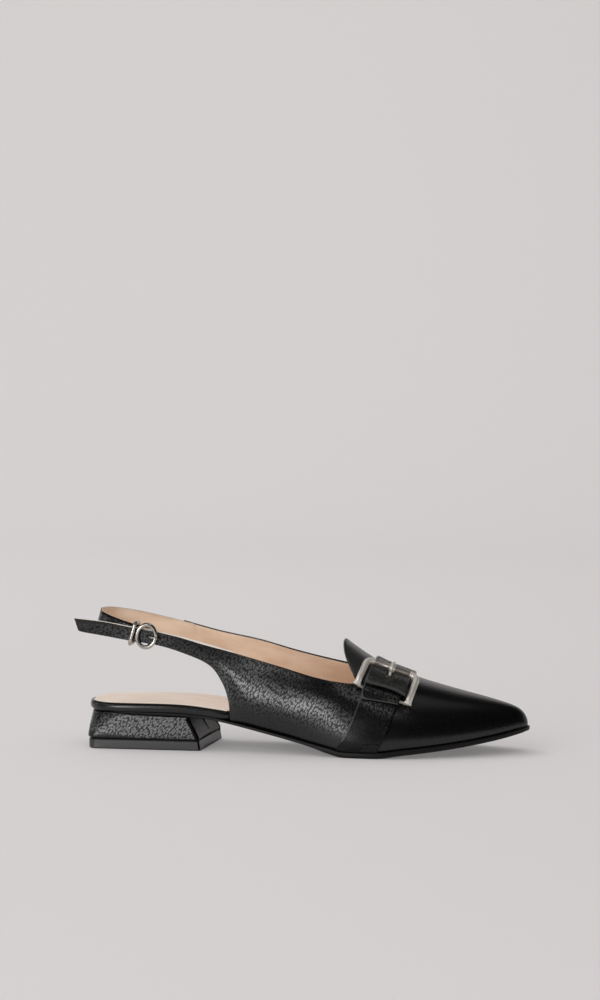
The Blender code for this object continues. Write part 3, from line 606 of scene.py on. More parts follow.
@dataclass(frozen=True)
class Nickel(Finish):
    """Warm nickel with faint hairlines, satin or polished."""

    colour: Colour = (0.86, 0.80, 0.73)
    roughness: float = 0.3
    metal: float = 0.6
    haze_scale: float = 420.0
    haze_dull: float = 0.1
    hair: tuple[float, float, float] = (6.0 * MM, 0.3 * MM, 0.3 * MM)
    hair_turn: float = 20.0
    hair_depth: float = 0.01 * MM
    dark_share: float = 0.86

    def dress(self, sheet: ShaderSheet) -> None:
        """Metal with a little haze.

        Args:
            sheet: The material's nodes.
        """
        place = sheet.place()
        haze = sheet.noise(place, self.haze_scale, detail=3.0)
        hairs = sheet.noise(sheet.stretched(place, (0.0, self.hair_turn, 0.0), self.hair))
        darker = tuple(part * self.dark_share for part in self.colour)
        sheet.relief(hairs, self.hair_depth)
        sheet.set(
            base_color=sheet.mix(haze, darker, self.colour),
            metallic=self.metal,
            roughness=self.roughness + haze * self.haze_dull,
        )


@dataclass(frozen=True)
class StudioPaper(Finish):
    """Pale matt paper of the floor and the sweep behind the shoe."""

    colour: Colour = (0.585, 0.568, 0.565)
    roughness: float = 0.85
    specular: float = 0.2
    glow: float = 0.168
    glow_colour: Colour = (1.0, 0.97, 0.965)
    fibre_scale: float = 300.0
    dark_share: float = 0.985

    def dress(self, sheet: ShaderSheet) -> None:
        """A matt tone with a trace of fibre, lit a little from behind.

        Args:
            sheet: The material's nodes.
        """
        fibre = sheet.noise(sheet.place(), self.fibre_scale)
        darker = tuple(part * self.dark_share for part in self.colour)
        sheet.set(
            base_color=sheet.mix(fibre, darker, self.colour),
            roughness=self.roughness,
            specular_ior_level=self.specular,
            emission_color=(*self.glow_colour, 1.0),
            emission_strength=self.glow,
        )


UPPER_LEATHER = PebbledLeather("upper_leather", calm=0.9, calm_low=24.0, calm_height=33.0, calm_fall=0.23)
STRAP_LEATHER = PebbledLeather("strap_leather", pebble=(2.0 * MM, 1.0 * MM))
BAND_LEATHER = PebbledLeather(
    "band_leather",
    valley=(0.003, 0.003, 0.0029),
    crown=(0.009, 0.009, 0.0088),
    pebble=(2.1 * MM, 0.95 * MM),
    gloss=0.75,
    calm_gloss=0.1,
    depth=0.06 * MM,
    slant=-72.0,
    groove=0.35 * MM,
    edge_highlight_width=0.8 * MM,
    calm_low=26.0,
    calm_height=36.0,
    calm_start=165.0,
    calm_fall=1.0,
)
# Much lighter than the other black leather: the strap's colour carries a painted sheen.
TIP_LEATHER = PebbledLeather(
    "tip_leather",
    valley=(0.014, 0.014, 0.0136),
    crown=(0.032, 0.032, 0.0312),
    pebble=(2.0 * MM, 0.9 * MM),
    gloss=0.4,
    calm_gloss=0.12,
    depth=0.05 * MM,
    slant=-140.0,
    groove=0.35 * MM,
    edge_highlight_width=0.8 * MM,
)
HEEL_LEATHER = PebbledLeather(
    "heel_leather",
    valley=(0.004, 0.004, 0.0041),
    crown=(0.024, 0.024, 0.0241),
    pebble=(2.0 * MM, 0.95 * MM),
    gloss=1.0,
    calm_gloss=0.12,
    coat=2.1,
    matt_rim=0.3,
    slant=-45.0,
    calm_low=6.5,
    calm_height=8.6,
    calm_start=30.0,
    calm_fall=0.12,
)
BOARD_LEATHER = SmoothLeather("board_leather", colour=(0.006, 0.006, 0.0061), roughness=0.2)
CORNER_PAINT = SmoothLeather(
    "corner_paint", colour=(0.0015, 0.0015, 0.0016), roughness=0.5, depth=0.03 * MM, specular=0.1
)
SOLE_LEATHER = SmoothLeather(
    "sole_leather", colour=(0.005, 0.0049, 0.0048), roughness=0.4, depth=0.08 * MM, specular=0.25
)
THREAD = SmoothLeather("thread", colour=(0.004, 0.004, 0.004), roughness=0.45)
LINING = LiningLeather("lining_leather")
# Paler than the lining: partly the raw edge's own colour, partly a painted highlight along the top edge.
RAW_EDGE_HIGHLIGHT = LiningLeather(
    "raw_edge_highlight", pale=(0.86, 0.82, 0.77), deep=(0.78, 0.72, 0.65), roughness=0.6, depth=0.03 * MM
)
SOCK = LiningLeather(
    "sock_leather", pale=(0.92, 0.79, 0.69), deep=(0.86, 0.72, 0.62), roughness=0.55, depth=0.03 * MM
)
RUBBER = LiftRubber("lift_rubber")
NICKEL = Nickel("satin_nickel")
# A darker copy of the satin nickel: painted shade on the buckle's bar and its pin.
SHADED_NICKEL = Nickel("shaded_nickel", colour=(0.42, 0.375, 0.34), roughness=0.28, metal=0.7)
# A paler, less metallic copy of the nickel: painted highlight on the buckle's feet.
HIGHLIGHT_NICKEL = Nickel("highlight_nickel", colour=(0.98, 0.96, 0.93), roughness=0.24, metal=0.4)
POLISHED_NICKEL = Nickel("polished_nickel", colour=(0.53, 0.50, 0.465), roughness=0.1, metal=0.92)
PAPER = StudioPaper("studio_paper")


# Making pieces


def add_piece(
    name: str, shape: bmesh.types.BMesh, finish: Finish, nodes: Sequence[str] = ()
) -> bpy.types.Object:
    """Turn a bmesh into a piece that rides on the shoe.

    Args:
        name: The piece's name.
        shape: Its mesh, which is freed.
        finish: Its surface.
        nodes: The CAD nodes that it stands for.

    Returns:
        The piece.
    """
    mesh = bpy.data.meshes.new(name)
    shape.to_mesh(mesh)
    shape.free()
    mesh.materials.append(finish.material())
    mesh.shade_smooth()
    piece = bpy.data.objects.new(name, mesh)
    bpy.context.scene.collection.objects.link(piece)
    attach(piece, BODY)
    if nodes:
        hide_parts(*nodes)
    LOG.info("%s: %d faces", name, len(mesh.polygons))
    return piece


def subdivide(piece: bpy.types.Object, levels: int = 2) -> None:
    """Smooth a cage, keeping the corners of an open sheet.

    Args:
        piece: The cage.
        levels: How often it is divided.
    """
    smooth = piece.modifiers.new("smooth", "SUBSURF")
    smooth.levels = levels
    smooth.render_levels = levels
    smooth.boundary_smooth = "PRESERVE_CORNERS"


def give_wall(piece: bpy.types.Object, thickness: float) -> None:
    """Thicken an open sheet away from its face.

    Args:
        piece: The sheet.
        thickness: The wall's thickness.
    """
    wall = piece.modifiers.new("wall", "SOLIDIFY")
    wall.thickness = thickness
    wall.offset = -1.0
    wall.use_even_offset = True
    wall.use_quality_normals = True


def soften(piece: bpy.types.Object, width: float, segments: int = 2) -> None:
    """Round the sharp edges of a piece.

    Args:
        piece: The piece.
        width: How wide the rounding is.
        segments: Faces across it.
    """
    bevel = piece.modifiers.new("soften", "BEVEL")
    bevel.width = width
    bevel.segments = segments
    bevel.limit_method = "ANGLE"
    bevel.angle_limit = math.radians(SHARP_ANGLE)
    bevel.harden_normals = False


def finished_mesh(piece: bpy.types.Object) -> BVHTree:
    """The piece with its modifiers, for finding places on it."""
    bpy.context.view_layer.update()
    return BVHTree.FromObject(piece, bpy.context.evaluated_depsgraph_get())


@dataclass
class Cage:
    """A CAD node's mesh, welded and brought back from triangles to four-sided faces."""

    node: str
    sharp: float = SHARP_ANGLE
    rim_area: float = math.inf
    flat_angle: float = 40.0
    corner_angle: float = 120.0

    def solid(self) -> bmesh.types.BMesh:
        """The whole closed cage.

        Returns:
            The cage, which the caller frees or hands on.
        """
        shape = bmesh.new()
        shape.from_mesh(frame["nodes"][self.node].data)
        bmesh.ops.remove_doubles(shape, verts=shape.verts, dist=WELD)
        bmesh.ops.join_triangles(
            shape,
            faces=shape.faces,
            angle_face_threshold=math.radians(self.flat_angle),
            angle_shape_threshold=math.radians(self.corner_angle),
        )
        return shape

    def sharp_edges(self, shape: bmesh.types.BMesh) -> list[bmesh.types.BMEdge]:
        """Edges at which the cage turns by more than the sharp angle, beside a face as small as a rim's.

        Args:
            shape: The closed cage.

        Returns:
            The edges.
        """
        limit = math.radians(self.sharp)
        return [
            edge
            for edge in shape.edges
            if len(edge.link_faces) == 2
            and edge.calc_face_angle() > limit
            and min(face.calc_area() for face in edge.link_faces) < self.rim_area
        ]

    def bevelled(self, width: float, segments: int = 2) -> bmesh.types.BMesh:
        """The closed cage with its sharp edges rounded.

        Args:
            width: How wide the rounding is.
            segments: Faces across it.

        Returns:
            The rounded cage.
        """
        shape = self.solid()
        bmesh.ops.bevel(
            shape,
            geom=self.sharp_edges(shape),
            offset=width,
            offset_type="OFFSET",
            affect="EDGES",
            segments=segments,
            profile=0.5,
            material=-1,
            clamp_overlap=True,
        )
        return shape

    def sheet(self, side: Side, inside: Vector) -> bmesh.types.BMesh:
        """One face of a wall as an open sheet.

        Args:
            side: The face that looks away from the inside, or towards it.
            inside: A point that the wall goes round.

        Returns:
            The sheet, with each point's distance from its edge in the attribute rim.
        """
        shape = self.solid()
        bmesh.ops.split_edges(shape, edges=self.sharp_edges(shape))
        islands = sorted(self.islands(shape), key=lambda faces: -sum(face.calc_area() for face in faces))[:2]
        outwards = [
            sum(face.calc_area() * face.normal.dot(face.calc_center_median() - inside) for face in faces)
            for faces in islands
        ]
        wanted = max(range(2), key=lambda k: outwards[k] * side.value)
        kept = set(islands[wanted])
        rest = [face for face in shape.faces if face not in kept]
        bmesh.ops.delete(shape, geom=rest, context="FACES")
        shape.normal_update()
        mark_distance(shape, "rim", rim_edges(shape))
        return shape

    @staticmethod
    def islands(shape: bmesh.types.BMesh) -> list[list[bmesh.types.BMFace]]:
        """Groups of faces that hang together.

        Args:
            shape: The split cage.

        Returns:
            The faces of each group.
        """
        groups: list[list[bmesh.types.BMFace]] = []
        seen: set[bmesh.types.BMFace] = set()
        for start in shape.faces:
            if start in seen:
                continue
            seen.add(start)
            group = [start]
            for face in group:
                for edge in face.edges:
                    for other in edge.link_faces:
                        if other not in seen:
                            seen.add(other)
                            group.append(other)
            groups.append(group)
        return groups


def rim_edges(shape: bmesh.types.BMesh) -> list[bmesh.types.BMEdge]:
    """The open edges of a sheet."""
    return [edge for edge in shape.edges if edge.is_boundary]


def mark_distance(shape: bmesh.types.BMesh, name: str, edges: Sequence[bmesh.types.BMEdge]) -> None:
    """Keep each point's distance from some edges in an attribute.

    Args:
        shape: The sheet.
        name: The attribute's name.
        edges: The edges.
    """
    layer = shape.verts.layers.float.new(name)
    runs = [(edge.verts[0].co.copy(), edge.verts[1].co.copy()) for edge in edges]
    for vert in shape.verts:
        vert[layer] = min(edge_distance(vert.co, *ends) for ends in runs)


def rim_direction(edge: bmesh.types.BMEdge) -> Vector:
    """The way from a sheet out over one of its open edges."""
    middle = (edge.verts[0].co + edge.verts[1].co) / 2
    return (middle - edge.link_faces[0].calc_center_median()).normalized()


def closed_loop(start: bmesh.types.BMVert, edges: set[bmesh.types.BMEdge]) -> list[bmesh.types.BMVert]:
    """Points of a closed chain of edges in order, from one of them.

    Args:
        start: The first point.
        edges: The chain's edges.

    Returns:
        The points, each once.
    """
    chain = [start]
    used: set[bmesh.types.BMEdge] = set()
    while True:
        ways = [edge for edge in chain[-1].link_edges if edge in edges and edge not in used]
        if not ways:
            return chain[:-1]
        used.add(ways[0])
        chain.append(ways[0].other_vert(chain[-1]))


def edge_distance(point: Vector, start: Vector, end: Vector) -> float:
    """Distance of a point from a straight run.

    Args:
        point: The point.
        start: The run's start.
        end: The run's end.

    Returns:
        The distance.
    """
    run = end - start
    share = min(max((point - start).dot(run) / max(run.length_squared, WELD * WELD), 0.0), 1.0)
    return (start + run * share - point).length


def mark_all(shape: bmesh.types.BMesh, value: float) -> None:
    """Give every point the same distance from an edge, so that the grain runs on over narrow pieces.

    Args:
        shape: The sheet.
        value: The distance.
    """
    layer = shape.verts.layers.float["rim"]
    for vert in shape.verts:
        vert[layer] = value


class Rod:
    """A round bar drawn through straight runs and bends by extruding and spinning a ring."""

    def __init__(self, start: Vector, along: Vector, radius: float, sides: int = 24) -> None:
        """Lay the first ring.

        Args:
            start: The bar's end.
            along: The way it sets out.
            radius: Half its thickness.
            sides: Points round it.
        """
        self.shape = bmesh.new()
        self.place = start.copy()
        self.along = along.normalized()
        turn = self.along.to_track_quat("Z", "Y").to_matrix().to_4x4()
        made = bmesh.ops.create_circle(
            self.shape, cap_ends=False, radius=radius, segments=sides, matrix=Matrix.Translation(start) @ turn
        )
        self.ring = list(made["verts"])

    def ring_edges(self) -> list[bmesh.types.BMEdge]:
        """Edges of the ring at the bar's working end."""
        ring = set(self.ring)
        return [edge for edge in self.shape.edges if edge.verts[0] in ring and edge.verts[1] in ring]

    def straight(self, length: float) -> None:
        """Draw the bar straight on.

        Args:
            length: How far.
        """
        made = bmesh.ops.extrude_edge_only(self.shape, edges=self.ring_edges())
        self.ring = [part for part in made["geom"] if isinstance(part, bmesh.types.BMVert)]
        bmesh.ops.translate(self.shape, verts=self.ring, vec=self.along * length)
        self.place = self.place + self.along * length

    def bend(self, towards: Vector, radius: float, steps: int = 8) -> None:
        """Turn the bar into a new direction on a round corner.

        Args:
            towards: The new direction.
            radius: The corner's radius.
            steps: Runs round the corner.
        """
        goal = towards.normalized()
        axis = self.along.cross(goal).normalized()
        angle = self.along.angle(goal)
        centre = self.place + axis.cross(self.along) * radius
        made = bmesh.ops.spin(
            self.shape,
            geom=[*self.ring, *self.ring_edges()],
            cent=centre,
            axis=axis,
            angle=angle,
            steps=steps,
        )
        self.ring = [part for part in made["geom_last"] if isinstance(part, bmesh.types.BMVert)]
        self.place = centre + Quaternion(axis, angle) @ (self.place - centre)
        self.along = goal

    def through(self, corners: Sequence[Vector], radius: float) -> None:
        """Draw the bar along corners, each rounded by a radius, to the last one.

        Args:
            corners: The corners and the end.
            radius: The radius.
        """
        for k, corner in enumerate(corners[:-1]):
            following = corners[k + 1] - corner
            cut = radius * math.tan(self.along.angle(following) / 2)
            self.straight((corner - self.place).length - cut)
            self.bend(following, radius)
        self.straight((corners[-1] - self.place).length)

    def finish(self) -> bmesh.types.BMesh:
        """Close the open ends and turn the faces outwards.

        Returns:
            The finished bar.
        """
        bmesh.ops.holes_fill(self.shape, edges=rim_edges(self.shape), sides=0)
        bmesh.ops.recalc_face_normals(self.shape, faces=self.shape.faces)
        return self.shape


def straight_bar(start: Vector, end: Vector, radius: float, sides: int = 24) -> bmesh.types.BMesh:
    """A round bar between two points.

    Args:
        start: One end.
        end: The other end.
        radius: Half its thickness.
        sides: Points round it.

    Returns:
        The bar.
    """
    rod = Rod(start, end - start, radius, sides)
    rod.straight((end - start).length)
    return rod.finish()


def drawn(
    points: Sequence[Vector], radius: Union[float, Sequence[float]], sides: int = 10, tall: float = 1.0
) -> bmesh.types.BMesh:
    """A cord drawn through points ring by ring, with closed ends.

    Args:
        points: The cord's middle line.
        radius: Half its thickness, for the whole cord or at each point.
        sides: Points round it.
        tall: Its height over its thickness.

    Returns:
        The cord.
    """
    shape = bmesh.new()
    before: list[bmesh.types.BMEdge] = []
    radii = [radius] * len(points) if isinstance(radius, float) else radius
    for k, point in enumerate(points):
        along = points[min(k + 1, len(points) - 1)] - points[max(k - 1, 0)]
        turn = along.to_track_quat("Z", "Y").to_matrix().to_4x4()
        stretch = Matrix.Translation(point) @ Matrix.Diagonal((1.0, 1.0, tall, 1.0))
        made = bmesh.ops.create_circle(
            shape, cap_ends=False, radius=radii[k], segments=sides, matrix=stretch @ turn
        )
        ring = list({edge for vert in made["verts"] for edge in vert.link_edges})
        if before:
            bmesh.ops.bridge_loops(shape, edges=[*before, *ring])
        before = ring
    bmesh.ops.holes_fill(shape, edges=rim_edges(shape), sides=0)
    bmesh.ops.recalc_face_normals(shape, faces=shape.faces)
    return shape


def turned(
    shape: bmesh.types.BMesh, start: Vector, end: Vector, start_radius: float, end_radius: float
) -> None:
    """Add a turned disc or cone with rounded edges to a shape.

    Args:
        shape: The shape that it is added to.
        start: The middle of its first end.
        end: The middle of its other end.
        start_radius: Its radius at the first end.
        end_radius: Its radius at the other end.
    """
    axis = end - start
    turn = axis.to_track_quat("Z", "Y").to_matrix().to_4x4()
    made = bmesh.ops.create_cone(
        shape,
        cap_ends=True,
        segments=ROUND_SEGMENTS,
        radius1=start_radius,
        radius2=end_radius,
        depth=axis.length,
        matrix=Matrix.Translation((start + end) / 2) @ turn,
    )
    edges = {edge for vert in made["verts"] for edge in vert.link_edges}
    rims = [edge for edge in edges if max(len(face.verts) for face in edge.link_faces) > QUAD]
    bmesh.ops.bevel(
        shape,
        geom=rims,
        offset=ROUND_EDGE,
        affect="EDGES",
        segments=2,
        profile=0.5,
        material=-1,
        clamp_overlap=True,
    )


# The shoe's pieces


@dataclass(frozen=True)
class Swelling:
    """A soft ridge along the outer quarter, given in millimetres of the shoe."""

    start: float
    start_height: float
    fall: float
    height: float
    width: float
    grow: tuple[float, float]
    fade: tuple[float, float]

    def amount(self, along: float, up: float) -> float:
        """How far it lifts the leather at a place along the shoe and above the floor.

        Args:
            along: Millimetres from the heel.
            up: Millimetres above the floor.

        Returns:
            The lift in metres.
        """
        off = (up - self.start_height + self.fall * (along - self.start)) / self.width
        share = smooth_share(*self.grow, along) * (1.0 - smooth_share(*self.fade, along))
        return self.height * share * math.exp(-off * off)


@dataclass
class Upper:
    """Vamp, tongue, quarters and outer strap: a leather outside over a lining."""

    inside: Vector
    leather_thickness: float = 1.05 * MM
    lining_thickness: float = 0.7 * MM
    lining_proud: float = 0.75 * MM
    lining_low: float = 0.55 * MM
    proud_until: float = 84.0
    proud_gone: float = 104.0
    tongue_short: float = 1.3 * MM
    stitch_inset: float = 1.3 * MM
    stitch_pitch: float = 2.0 * MM
    swellings: tuple[Swelling, ...] = (
        Swelling(96.0, 32.0, 0.15, 2.2 * MM, 18.0, (60.0, 80.0), (118.0, 152.0)),
        Swelling(150.0, 32.0, 0.15, 1.1 * MM, 12.0, (126.0, 146.0), (152.0, 164.0)),
    )
    swelling_rim: float = 12.0 * MM
    twist_from: float = 30.0
    twist_to: float = 16.0
    twist_angle: float = -10.0
    twist_height: float = 72.3
    twist_fall: float = 0.13
    bulge_out: float = 2.0 * MM
    bulge_span: tuple[float, float] = (42.0, 65.0)
    bulge_from: float = 148.0
    bulge_until: float = 4.0
    bulge_rim: float = 12.0 * MM
    raw_radius: float = 0.5 * MM
    raw_swell: float = 0.5 * MM
    raw_grow: tuple[float, float] = (52.0, 68.0)
    raw_fade: tuple[float, float] = (76.0, 90.0)
    raw_end: float = 94.0
    edge_round: float = 0.22 * MM
    top_facing: float = 0.75
    tongue_facing: float = -0.4
    tongue_past: float = 140.0

    def build(self) -> None:
        """Make the leather, the lining, the stitches along the top edge and the lining's raw edge, whose pale
        colour is partly a painted highlight.
        """
        cage = Cage("upper")
        outside = cage.sheet(Side.OUTER, self.inside)
        self.swell(outside)
        self.twist(outside)
        self.bulge(outside)
        top = top_chain(outside)
        leather = add_piece("upper_leather", outside, UPPER_LEATHER, ("upper",))
        subdivide(leather)
        give_wall(leather, self.leather_thickness)
        soften(leather, self.edge_round)
        inner = cage.sheet(Side.INNER, self.inside)
        self.trim(inner)
        self.twist(inner)
        self.bulge(inner)
        lining = add_piece("upper_lining", inner, LINING)
        subdivide(lining)
        give_wall(lining, self.lining_thickness)
        stitches = StitchRow(self.stitch_inset, self.stitch_pitch).along(top, finished_mesh(leather))
        add_piece("topline_stitches", stitches, THREAD)
        path = self.raw_path(top)
        cord = drawn(path, [self.raw_width(point) for point in path])
        raw = add_piece("topline_raw_edge", cord, RAW_EDGE_HIGHLIGHT)
        subdivide(raw, 1)

    def swell(self, outside: bmesh.types.BMesh) -> None:
        """Round the outer quarter along soft ridges, as leather stands when it is pulled over the last.

        Args:
            outside: The upper's outside, whose points are moved.
        """
        rim = outside.verts.layers.float["rim"]
        for vert in outside.verts:
            if vert.co.y > self.inside.y:
                continue
            along, _, up = measured(vert.co)
            amount = sum(ridge.amount(along, up) for ridge in self.swellings)
            vert.co += vert.normal * amount * smooth_share(0.0, self.swelling_rim, vert[rim])

    def twist(self, sheet: bmesh.types.BMesh) -> None:
        """Turn the outer strap's free end a little about its length.

        Args:
            sheet: The sheet, whose points are moved.
        """
        for vert in sheet.verts:
            along = measured(vert.co).x
            if vert.co.y < self.inside.y and along < self.twist_from:
                share = smooth_share(self.twist_from, self.twist_to, along)
                middle = shoe(0.0, 0.0, self.twist_height - self.twist_fall * along).z
                vert.co.y += (vert.co.z - middle) * math.tan(math.radians(self.twist_angle)) * share

    def bulge(self, sheet: bmesh.types.BMesh) -> None:
        """Round the tongue's outer edge out backwards.

        Args:
            sheet: The sheet, whose points are moved.
        """
        rim = sheet.verts.layers.float["rim"]
        low, high = self.bulge_span
        for vert in sheet.verts:
            along, across, up = measured(vert.co)
            if along > self.bulge_from and across < self.bulge_until and low < up < high:
                share = math.sin(math.pi * (up - low) / (high - low))
                vert.co.x -= self.bulge_out * share * (1.0 - smooth_share(0.0, self.bulge_rim, vert[rim]))

    def raw_path(self, top: Sequence[tuple[Vector, Vector]]) -> list[Vector]:
        """Where the lining's raw edge shows above the outer strap.

        Args:
            top: Points of the top edge with the way into the sheet.

        Returns:
            The raw edge's middle line.
        """
        path = []
        for point, _ in top:
            if point.y > self.inside.y or point.x > forward(self.raw_end):
                break
            path.append(point + Vector((0.0, self.leather_thickness, 0.0)))
        return path

    def raw_width(self, point: Vector) -> float:
        """Half the raw edge's thickness at a place, wider where the strap broadens into the quarter.

        Args:
            point: The place.

        Returns:
            Half the thickness.
        """
        along = measured(point).x
        share = smooth_share(*self.raw_grow, along) * (1.0 - smooth_share(*self.raw_fade, along))
        return self.raw_radius + self.raw_swell * share

    def trim(self, lining: bmesh.types.BMesh) -> None:
        """Let the lining stand proud of the outer strap's top edge and end below the inner one.

        Args:
            lining: The lining, whose points are moved.
        """
        moves: dict[bmesh.types.BMVert, float] = {}
        short: dict[bmesh.types.BMVert, Vector] = {}
        for edge in rim_edges(lining):
            away = rim_direction(edge)
            if away.x < self.tongue_facing and edge.verts[0].co.x > forward(self.tongue_past):
                short.update({vert: away * -self.tongue_short for vert in edge.verts})
            if away.z < self.top_facing:
                continue
            for vert in edge.verts:
                along = measured(vert.co).x
                outer = vert.co.y < self.inside.y
                proud = 1.0 - smooth_share(self.proud_until, self.proud_gone, along)
                moves[vert] = self.lining_proud * proud if outer else -self.lining_low
        for vert, rise in moves.items():
            vert.co.z += rise
        for vert, move in short.items():
            vert.co += move


def top_chain(sheet: bmesh.types.BMesh) -> list[tuple[Vector, Vector]]:
    """Points of the top edge from the outer strap's free end over the tongue to the inner quarter's end.

    Args:
        sheet: The upper's outside.

    Returns:
        Each point with the way into the sheet.
    """
    edges = rim_edges(sheet)
    verts = {vert for edge in edges for vert in edge.verts}
    start = min(verts, key=lambda vert: vert.co.x - vert.co.z)
    inner = [vert for vert in verts if vert.co.y > ORIGIN.y]
    end = min(inner, key=lambda vert: vert.co.x - vert.co.z)
    chain = [start]
    used: set[bmesh.types.BMEdge] = set()
    places = []
    while chain[-1] is not end:
        here = chain[-1]
        ways = [edge for edge in here.link_edges if edge.is_boundary and edge not in used]
        edge = max(ways, key=lambda way: way.other_vert(here).co.z)
        used.add(edge)
        chain.append(edge.other_vert(here))
        middle = (edge.verts[0].co + edge.verts[1].co) / 2
        inwards = edge.link_faces[0].calc_center_median() - middle
        run = (edge.verts[1].co - edge.verts[0].co).normalized()
        inwards = (inwards - run * inwards.dot(run)).normalized()
        places.append((here.co.copy(), inwards))
    return places


@dataclass
class StitchRow:
    """A row of thread laid into a surface."""

    inset: float
    pitch: float
    thickness: float = 0.22 * MM
    half_share: float = 0.42

    def along(self, chain: Sequence[tuple[Vector, Vector]], surface: BVHTree) -> bmesh.types.BMesh:
        """Stitches beside a chain of edge points.

        Args:
            chain: Edge points, each with the way into the sheet.
            surface: The finished sheet.

        Returns:
            The stitches as one shape.
        """
        holes = self.holes(chain, surface)
        shape = bmesh.new()
        for (start, normal), (end, _) in zip(holes, holes[1:]):
            self.stitch(shape, start, end, normal)
        return shape

    def holes(self, chain: Sequence[tuple[Vector, Vector]], surface: BVHTree) -> list[tuple[Vector, Vector]]:
        """Places of the needle's holes with the surface's normals.

        Args:
            chain: Edge points, each with the way into the sheet.
            surface: The finished sheet.

        Returns:
            Each hole with its normal.
        """
        found = []
        rest = self.pitch
        for (start, inwards), (end, following) in zip(chain, chain[1:]):
            run = end - start
            while rest < run.length:
                share = rest / run.length
                guess = start + run * share + inwards.lerp(following, share).normalized() * self.inset
                place, normal, _, _ = surface.find_nearest(guess)
                found.append((place, normal))
                rest += self.pitch
            rest -= run.length
        return found

    def stitch(self, shape: bmesh.types.BMesh, start: Vector, end: Vector, normal: Vector) -> None:
        """One stitch between two holes, half sunk into the leather.

        Args:
            shape: The row that it is added to.
            start: One hole.
            end: The next hole.
            normal: The way the leather faces.
        """
        run = end - start
        across = normal.cross(run).normalized()
        turn = Matrix((run.normalized(), across, normal)).transposed().to_4x4()
        scale = Matrix.Diagonal((run.length * self.half_share, self.thickness, self.thickness, 1.0))
        matrix = Matrix.Translation((start + end) / 2) @ turn @ scale
        bmesh.ops.create_uvsphere(shape, u_segments=6, v_segments=4, radius=1.0, matrix=matrix)


@dataclass
class SlingStrap:
    """Strap round the heel: leather outside, lining inside."""

    inside: Vector
    leather_thickness: float = 0.6 * MM
    lining_thickness: float = 0.58 * MM
    skive_from: float = 48.0
    skive_to: float = 57.5
    dip: float = 1.75 * MM
    grain_rim: float = 10.0 * MM

    def build(self) -> None:
        """Make both layers."""
        cage = Cage("sling_strap")
        outer = cage.sheet(Side.OUTER, self.inside)
        inner = cage.sheet(Side.INNER, self.inside)
        for sheet in (outer, inner):
            self.skive(sheet)
        mark_all(outer, self.grain_rim)
        leather = add_piece("sling_leather", outer, STRAP_LEATHER, ("sling_strap",))
        lining = add_piece("sling_lining", inner, LINING)
        for piece, thickness in ((leather, self.leather_thickness), (lining, self.lining_thickness)):
            subdivide(piece)
            give_wall(piece, thickness)

    def skive(self, sheet: bmesh.types.BMesh) -> None:
        """Let the end dip between the inner quarter's leather and its lining.

        Args:
            sheet: The sheet, whose points are moved.
        """
        for vert in sheet.verts:
            along = measured(vert.co).x
            if vert.co.y > self.inside.y:
                vert.co.y += self.dip * smooth_share(self.skive_from, self.skive_to, along)


@dataclass
class InstepBand:
    """Band folded round the pin, and the strap that runs over it under the buckle's bar."""

    inside: Vector
    band_thickness: float = 0.8 * MM
    band_rim_area: float = 4.2 * MM * MM
    strap_thickness: float = 1.6 * MM
    edge_round: float = 0.24 * MM
    cut_end_above: float = 26.0
    back_facing: float = -0.6
    cut_facing: float = -0.4

    def build(self) -> None:
        """Make the band and the strap."""
        fold = Cage("vamp_band", rim_area=self.band_rim_area).sheet(Side.OUTER, self.inside)
        over = Cage("vamp_strap").sheet(Side.OUTER, self.inside)
        for sheet in (fold, over):
            # Distance from the edges that get a painted highlight.
            mark_distance(sheet, "bright", self.highlight_edges(sheet))
        band = add_piece("vamp_band_leather", fold, BAND_LEATHER, ("vamp_band",))
        strap = add_piece("vamp_strap_leather", over, TIP_LEATHER, ("vamp_strap",))
        for piece, thickness in ((band, self.band_thickness), (strap, self.strap_thickness)):
            subdivide(piece)
            give_wall(piece, thickness)
            soften(piece, self.edge_round)

    def highlight_edges(self, sheet: bmesh.types.BMesh) -> list[bmesh.types.BMEdge]:
        """The edges that get a painted highlight, as if they caught the light: those at the back, and the cut
        ends high on the instep.

        Args:
            sheet: The band or the strap.

        Returns:
            The edges.
        """
        found = []
        for edge in rim_edges(sheet):
            away = rim_direction(edge)
            high = edge.verts[0].co.z > shoe(0.0, 0.0, self.cut_end_above).z
            if away.x < self.back_facing or (high and away.z < self.cut_facing):
                found.append(edge)
        return found


